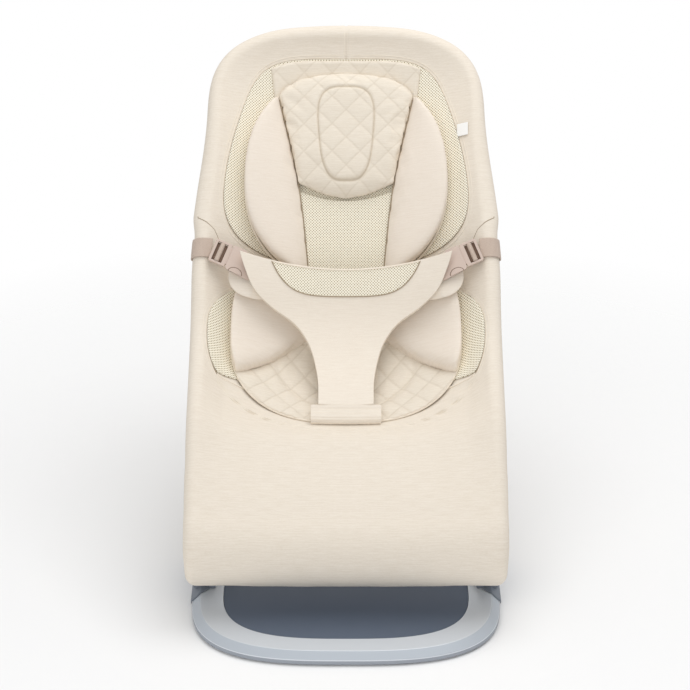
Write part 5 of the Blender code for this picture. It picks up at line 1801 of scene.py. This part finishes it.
# %% [markdown]
# ### Buckle flaps
# Under each ear a padded flap keeps the buckle off the child. It is sewn to the harness's back, so it
# moves with it, and its round end shows below the buckle.

# %% Buckle flaps
FLAP_MIDDLE = (0.114, 0.510)
FLAP_HALF = (0.037, 0.030)
FLAP_THICKNESS = 0.0036
FLAP_LEVEL = 0.0015
FLAP_ENDS = (FLAP_MIDDLE[1] - FLAP_HALF[1], FLAP_MIDDLE[1] + FLAP_HALF[1])


def flap_edges(s):
    """The sides of its nearly round outline."""
    reach = np.minimum(np.abs(s - FLAP_MIDDLE[1]) / FLAP_HALF[1], 1.0)
    half = FLAP_HALF[0] * (1.0 - reach**2.2) ** (1 / 2.2)
    return FLAP_MIDDLE[0] - half, FLAP_MIDDLE[0] + half


def flap_ground(x, s):
    """Just under the harness, and level beyond its edge, but never in the hip wings."""
    back = harness_ground(np.abs(x), s) - 0.5 * HARNESS_THICKNESS
    under = np.minimum(back - FLAP_THICKNESS - 0.0006, FLAP_LEVEL)
    return np.maximum(under, cloth_top(x, s) + PAD_BASE + 0.0010)


def flap_crown(x, s):
    """Even, because the pad is thin."""
    return FLAP_THICKNESS + 0.0 * x


flap = closed_pad("buckle_flap_right", FLAP_ENDS, flap_edges, flap_crown, 40, 60)
limit(flap, lambda x, s, h: (x, np.minimum(s, chest_high(x) - 0.0010), h))
flap_left = mirrored(flap, "buckle_flap_left")
for piece in (flap, flap_left):
    settle(piece, harness_cloth, 0.0, None, "harness", flap_ground)
print("each flap is", 2 * FLAP_HALF[0], "m wide")

# %% [markdown]
# ## Straps and buckles
# A strap of webbing goes round the rail and the sling and ends in a ladder lock: two bars that grip it
# by friction. The buckle's tongue carries the lock, and its socket is sewn under the harness's ear.
# The strap is a flat strip that is rolled round the rail by a formula, so its ribs stay even.

# %% Straps
STRAP_S = 0.545
STRAP_WRAP = (-100.0, 102.5)
STRAP_CLEARANCE = 0.0009
STRAP_RUN = 0.0100
WEBBING_WIDTH = 0.025
WEBBING_THICKNESS = 0.0016
ROUND_TURN = math.radians(STRAP_WRAP[1] - STRAP_WRAP[0])
STRAP_REACH = COVER_RADIUS + 0.5 * COVER_THICKNESS + STRAP_CLEARANCE + 0.5 * WEBBING_THICKNESS


def make_strap(side):
    """A strip of webbing: flat first, with its length along x, then wrapped round the rail."""
    arc = STRAP_REACH * ROUND_TURN
    strip_length = arc + STRAP_RUN
    strap = grid(f"webbing_strap_{side}", 110, 24,
                 lambda u, v: (u * strip_length, (v - 0.5) * WEBBING_WIDTH, 0.0))
    cut_map(strap)
    along, across = points_of(strap)[:, :2].T
    turned = np.minimum(along / arc, 1.0)
    angle = np.radians(STRAP_WRAP[0]) + ROUND_TURN * turned
    beyond = np.maximum(along - arc, 0.0)
    out = STRAP_REACH * np.cos(angle) - beyond * np.sin(angle)
    height = STRAP_REACH * np.sin(angle) + beyond * np.cos(angle)
    s = STRAP_S + across
    sign = sign_of(side)
    set_points(strap, seat_places(sign * (rail_half(s) + out), s, height))
    if sign > 0:
        strap.data.flip_normals()
    thicken(strap, WEBBING_THICKNESS)
    paint(strap, webbing_material)
    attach(strap, "seat")
    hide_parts(f"strap_{side}")
    return strip_length


strap_length = [make_strap(side) for side in SIDES][0]
print("each strap shows", round(strap_length, 3), "m of webbing")

# %% [markdown]
# ### Buckle details
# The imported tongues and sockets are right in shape, so only what lies on them is added: the webbing in
# the lock's slots, and the socket's front plate with its press tab. Each is made flat round the
# buckle's own origin, and one matrix then puts it in its place.

# %% Buckle frame
BUCKLE_INSET = 0.0348
BUCKLE_MOUTH = (0.5330, 0.0120)
BUCKLE_TURN = math.radians(22)
BUCKLE_PITCH = math.radians(9)
TONGUE_THICKNESS = 0.0044
TONGUE_LENGTH = 0.0235
LADDER_BAR = 0.0034
LADDER_SLOT = 0.0052
SOCKET_TOP = 0.5 * TONGUE_THICKNESS + 0.0003 + 0.0016


def buckle_frame(side):
    """A buckle's own space: X into the socket, Y across the webbing and Z out of the harness."""
    sign = sign_of(side)
    s, h = BUCKLE_MOUTH
    heading = float(rail_at(s)[2])
    up = Vector((0.0, -math.sin(heading), math.cos(heading)))
    along = Vector((0.0, math.cos(heading), math.sin(heading)))
    flat = -sign * math.cos(BUCKLE_TURN) * Vector((1.0, 0.0, 0.0)) - math.sin(BUCKLE_TURN) * along
    into = math.cos(BUCKLE_PITCH) * flat - math.sin(BUCKLE_PITCH) * up
    across = up.cross(into).normalized()
    space = Matrix((into, across, into.cross(across))).transposed().to_4x4()
    space.translation = Vector(seat_places(sign * (float(rail_half(STRAP_S)) - BUCKLE_INSET), s, h))
    return space


def lower_side(side):
    """The way of the buckle's lower edge along its own Y."""
    own_y = buckle_frame(side).to_3x3() @ Vector((0.0, 1.0, 0.0))
    return -1.0 if own_y.z > 0.0 else 1.0


# %% Webbing in the ladder lock
# This dark brown is painted shade, for the shadow in the lock's slots and in the gap round the press tab.
painted_shade_material = plain_material("painted shade", srgb(122, 101, 87), 0.85, specular=0.2)
LOOP_WIDTH = 0.0244
SLOT_SHADE_WIDTH = 0.0240


def make_lock_loop(side):
    """The webbing that shows over the middle bar of the ladder lock."""
    middle = -TONGUE_LENGTH + 1.5 * LADDER_BAR + LADDER_SLOT
    reach = 0.5 * LADDER_BAR + 0.0012
    loop = grid(f"lock_webbing_{side}", 30, 20,
                lambda u, v: ((u - 0.5) * 2 * reach, (v - 0.5) * LOOP_WIDTH, 0.0))
    cut_map(loop)
    x, y = points_of(loop)[:, :2].T
    arch = np.clip(1.0 - np.abs(x / reach) ** 3.0, 0.0, 1.0) ** 0.5
    set_points(loop, np.column_stack([middle + x, y, -0.0030 + 0.0062 * arch]))
    loop.data.transform(buckle_frame(side))
    thicken(loop, 0.0010)
    paint(loop, webbing_material)
    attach(loop, f"tongue_{side}")


def make_slot_shade(side):
    """A dark sheet under the ladder lock, painted shade that fills its slots."""
    length = 2 * LADDER_SLOT + LADDER_BAR
    start = -TONGUE_LENGTH + LADDER_BAR
    shade = grid(f"lock_slot_shade_{side}", 12, 12,
                 lambda u, v: (start + u * length, (v - 0.5) * SLOT_SHADE_WIDTH, -0.0016))
    shade.data.transform(buckle_frame(side))
    thicken(shade, 0.0008)
    paint(shade, painted_shade_material)
    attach(shade, f"tongue_{side}")


# %% Socket plates
PLATE_END = 0.0355
PLATE_UPPER = 0.0155
PLATE_LOWER = (0.0178, 0.0205)
PLATE_TOP = SOCKET_TOP + 0.0003
PLATE_THICKNESS = 0.0022
PLATE_CORNER = 0.0030
PLATE_ROUNDING = 0.0006
PRESS_MIDDLE = 0.0150
PRESS_HALF = 0.0088
PRESS_DEPTH = 0.0066


def raised(bm, height):
    """Give a flat bmesh a height, and turn its faces outwards."""
    grown = bmesh.ops.extrude_face_region(bm, geom=bm.faces[:])["geom"]
    top = [item for item in grown if isinstance(item, bmesh.types.BMVert)]
    bmesh.ops.translate(bm, vec=(0, 0, height), verts=top)
    bmesh.ops.recalc_face_normals(bm, faces=bm.faces)


def make_plate(side):
    """The socket's front plate, a little narrower at its far end."""
    lower = lower_side(side)
    bm = bmesh.new()
    bmesh.ops.create_grid(bm, x_segments=1, y_segments=1, size=0.5)
    for vert in bm.verts:
        along = PLATE_END if vert.co.x > 0 else 0.0006
        below = PLATE_LOWER[1] if vert.co.x > 0 else PLATE_LOWER[0]
        above = PLATE_UPPER - (0.006 if vert.co.x > 0 else 0.0)
        vert.co = (along, lower * below if vert.co.y * lower > 0 else -lower * above, 0.0)
    raised(bm, PLATE_THICKNESS)
    upright = [e for e in bm.edges if abs(e.verts[0].co.z - e.verts[1].co.z) > 0.5 * PLATE_THICKNESS]
    bmesh.ops.bevel(bm, geom=upright, offset=PLATE_CORNER, segments=6, profile=0.5, affect="EDGES",
                    material=-1)
    top = [e for e in bm.edges if all(v.co.z > 0.002 for v in e.verts) and e.calc_face_angle(0.0) > 0.5]
    bmesh.ops.bevel(bm, geom=top, offset=PLATE_ROUNDING, segments=3, profile=0.5, affect="EDGES",
                    material=-1)
    plate = made(f"socket_plate_{side}", bm)
    weigh_normals(plate)
    plate.data.transform(buckle_frame(side) @ Matrix.Translation((0.0, 0.0, PLATE_TOP - PLATE_THICKNESS)))
    paint(plate, buckle_plastic)
    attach(plate, "harness")


def make_press_tab(side):
    """A half-moon tab at the plate's lower edge, which lets the tongue go, with painted shade in the gap
    round it.
    """
    lower = lower_side(side)
    bottom = PLATE_TOP - 0.0010
    for name, grow, top, material in (
        # The first piece is painted shade in the gap round the tab.
        ("press_gap_shade", 0.0009, PLATE_TOP + 0.00012, painted_shade_material),
        ("press_tab", 0.0, PLATE_TOP + 0.0007, buckle_plastic),
    ):
        bm = bmesh.new()
        circle = bmesh.ops.create_circle(bm, cap_ends=True, segments=64, radius=1.0)["verts"]
        bmesh.ops.scale(bm, vec=(PRESS_HALF + grow, PRESS_DEPTH + grow, 1.0), verts=circle)
        bmesh.ops.bisect_plane(bm, geom=bm.verts[:] + bm.edges[:] + bm.faces[:], dist=0.00001,
                               plane_co=(0, 0, 0), plane_no=(0, lower, 0), clear_outer=True)
        raised(bm, top - bottom)
        piece = made(f"{name}_{side}", bm)
        if name == "press_tab":
            piece.modifiers.new("soft edge", "BEVEL").width = 0.0003
            apply_modifiers(piece)
        weigh_normals(piece)
        edge = lower * (np.interp(PRESS_MIDDLE, (0.0, PLATE_END), PLATE_LOWER) - 0.0004)
        place = Matrix.Translation((PRESS_MIDDLE, edge, bottom))
        piece.data.transform(buckle_frame(side) @ place)
        paint(piece, material)
        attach(piece, "harness")


for side in SIDES:
    make_lock_loop(side)
    make_slot_shade(side)
    make_plate(side)
    make_press_tab(side)
print("each plate is", PLATE_END, "m long")

# %% [markdown]
# ### Blank tab
# A small tab is sewn into the round's side seam. A thin sheet, slightly arched, is enough for it, and
# it stays blank.

# %% Blank tab
TAB_PLACE = (0.1520, 0.7100)
TAB_SIZE = (0.014, 0.017)
TAB_LIFT = 0.0016
TAB_ARCH = 0.0006


def tab_place(u, v):
    """Across (u) and along the tab (v)."""
    x = TAB_PLACE[0] + TAB_SIZE[0] * (u - 0.5)
    return x, TAB_PLACE[1] + TAB_SIZE[1] * (v - 0.5), TAB_LIFT + TAB_ARCH * np.cos(2.2 * (u - 0.5))


tab = grid("blank_tab", 20, 20, tab_place)
thicken(tab, 0.0005)
settle(tab, label_cloth, 0.0, "side_tab")
print("the tab has", len(tab.data.polygons), "faces")

# %% [markdown]
# ## Floor and light
# A pale floor carries the shadow and fades out round the object, so no horizon shows. Soft light comes
# from above, from the front and, a little, from low down, as in a studio with large diffusers. The
# background is white for the camera, and also for glossy rays, so that metal mirrors a white room.

# %% Floor
FLOOR_COLOUR = 0.96
FLOOR_FADE = (0.4, 1.1)
bm = bmesh.new()
bmesh.ops.create_grid(bm, x_segments=1, y_segments=1, size=4.0)
floor = made("floor", bm, smooth=False)
floor_material, floor_tree, floor_shader = new_material("floor", 0.9, specular=0.1)
floor_shader.inputs["Base Color"].default_value = (FLOOR_COLOUR, FLOOR_COLOUR, FLOOR_COLOUR, 1.0)
floor_place = add_node(floor_tree, "TexCoord").outputs["Object"]
floor_reach = add_node(floor_tree, "VectorMath", {0: floor_place}, operation="LENGTH").outputs["Value"]
fade = {0: floor_reach, 1: FLOOR_FADE[0], 2: FLOOR_FADE[1], 3: 1.0, 4: 0.0}
floor_share = add_node(floor_tree, "MapRange", fade).outputs[0]
floor_tree.links.new(floor_share, floor_shader.inputs["Alpha"])
floor.data.materials.append(floor_material)
print("the floor fades out", FLOOR_FADE[1], "m from the middle")

# %% World
ROOM_STRENGTH = 0.59
world = bpy.data.worlds.new("studio")
world.use_nodes = True
scene.world = world
world_tree = world.node_tree
room = world_tree.nodes["Background"]
room.inputs["Color"].default_value = (1.0, 1.0, 1.0, 1.0)
room.inputs["Strength"].default_value = ROOM_STRENGTH
white = add_node(world_tree, "Background", {"Color": (1.0, 1.0, 1.0, 1.0), "Strength": 1.0})
rays = add_node(world_tree, "LightPath").outputs
seen = maths(world_tree, "MAXIMUM", rays["Is Camera Ray"], rays["Is Glossy Ray"])
seen = maths(world_tree, "MAXIMUM", seen, rays["Is Transmission Ray"])
mix = add_node(world_tree, "MixShader", {0: seen, 1: room.outputs[0], 2: white.outputs[0]})
world_tree.links.new(mix.outputs[0], world_tree.nodes["World Output"].inputs["Surface"])


# %% Lamps
def soft_lamp(name, place, target, size, power):
    """A square area lamp that looks at a target."""
    data = bpy.data.lights.new(name, "AREA")
    data.shape = "SQUARE"
    data.size = size
    data.energy = power
    lamp = bpy.data.objects.new(name, data)
    lamp.location = place
    lamp.rotation_euler = (Vector(target) - Vector(place)).to_track_quat("-Z", "Y").to_euler()
    scene.collection.objects.link(lamp)


soft_lamp("top light", (0.3, 0.2, 2.2), (0.0, 0.05, 0.25), 1.6, 20.5)
soft_lamp("front light", (-0.9, -2.0, 1.5), (0.0, 0.0, 0.3), 1.2, 7.0)
soft_lamp("low light", (0.0, -1.8, 0.35), (0.0, -0.2, 0.15), 1.0, 3.2)
print(len(bpy.data.lights), "lamps")
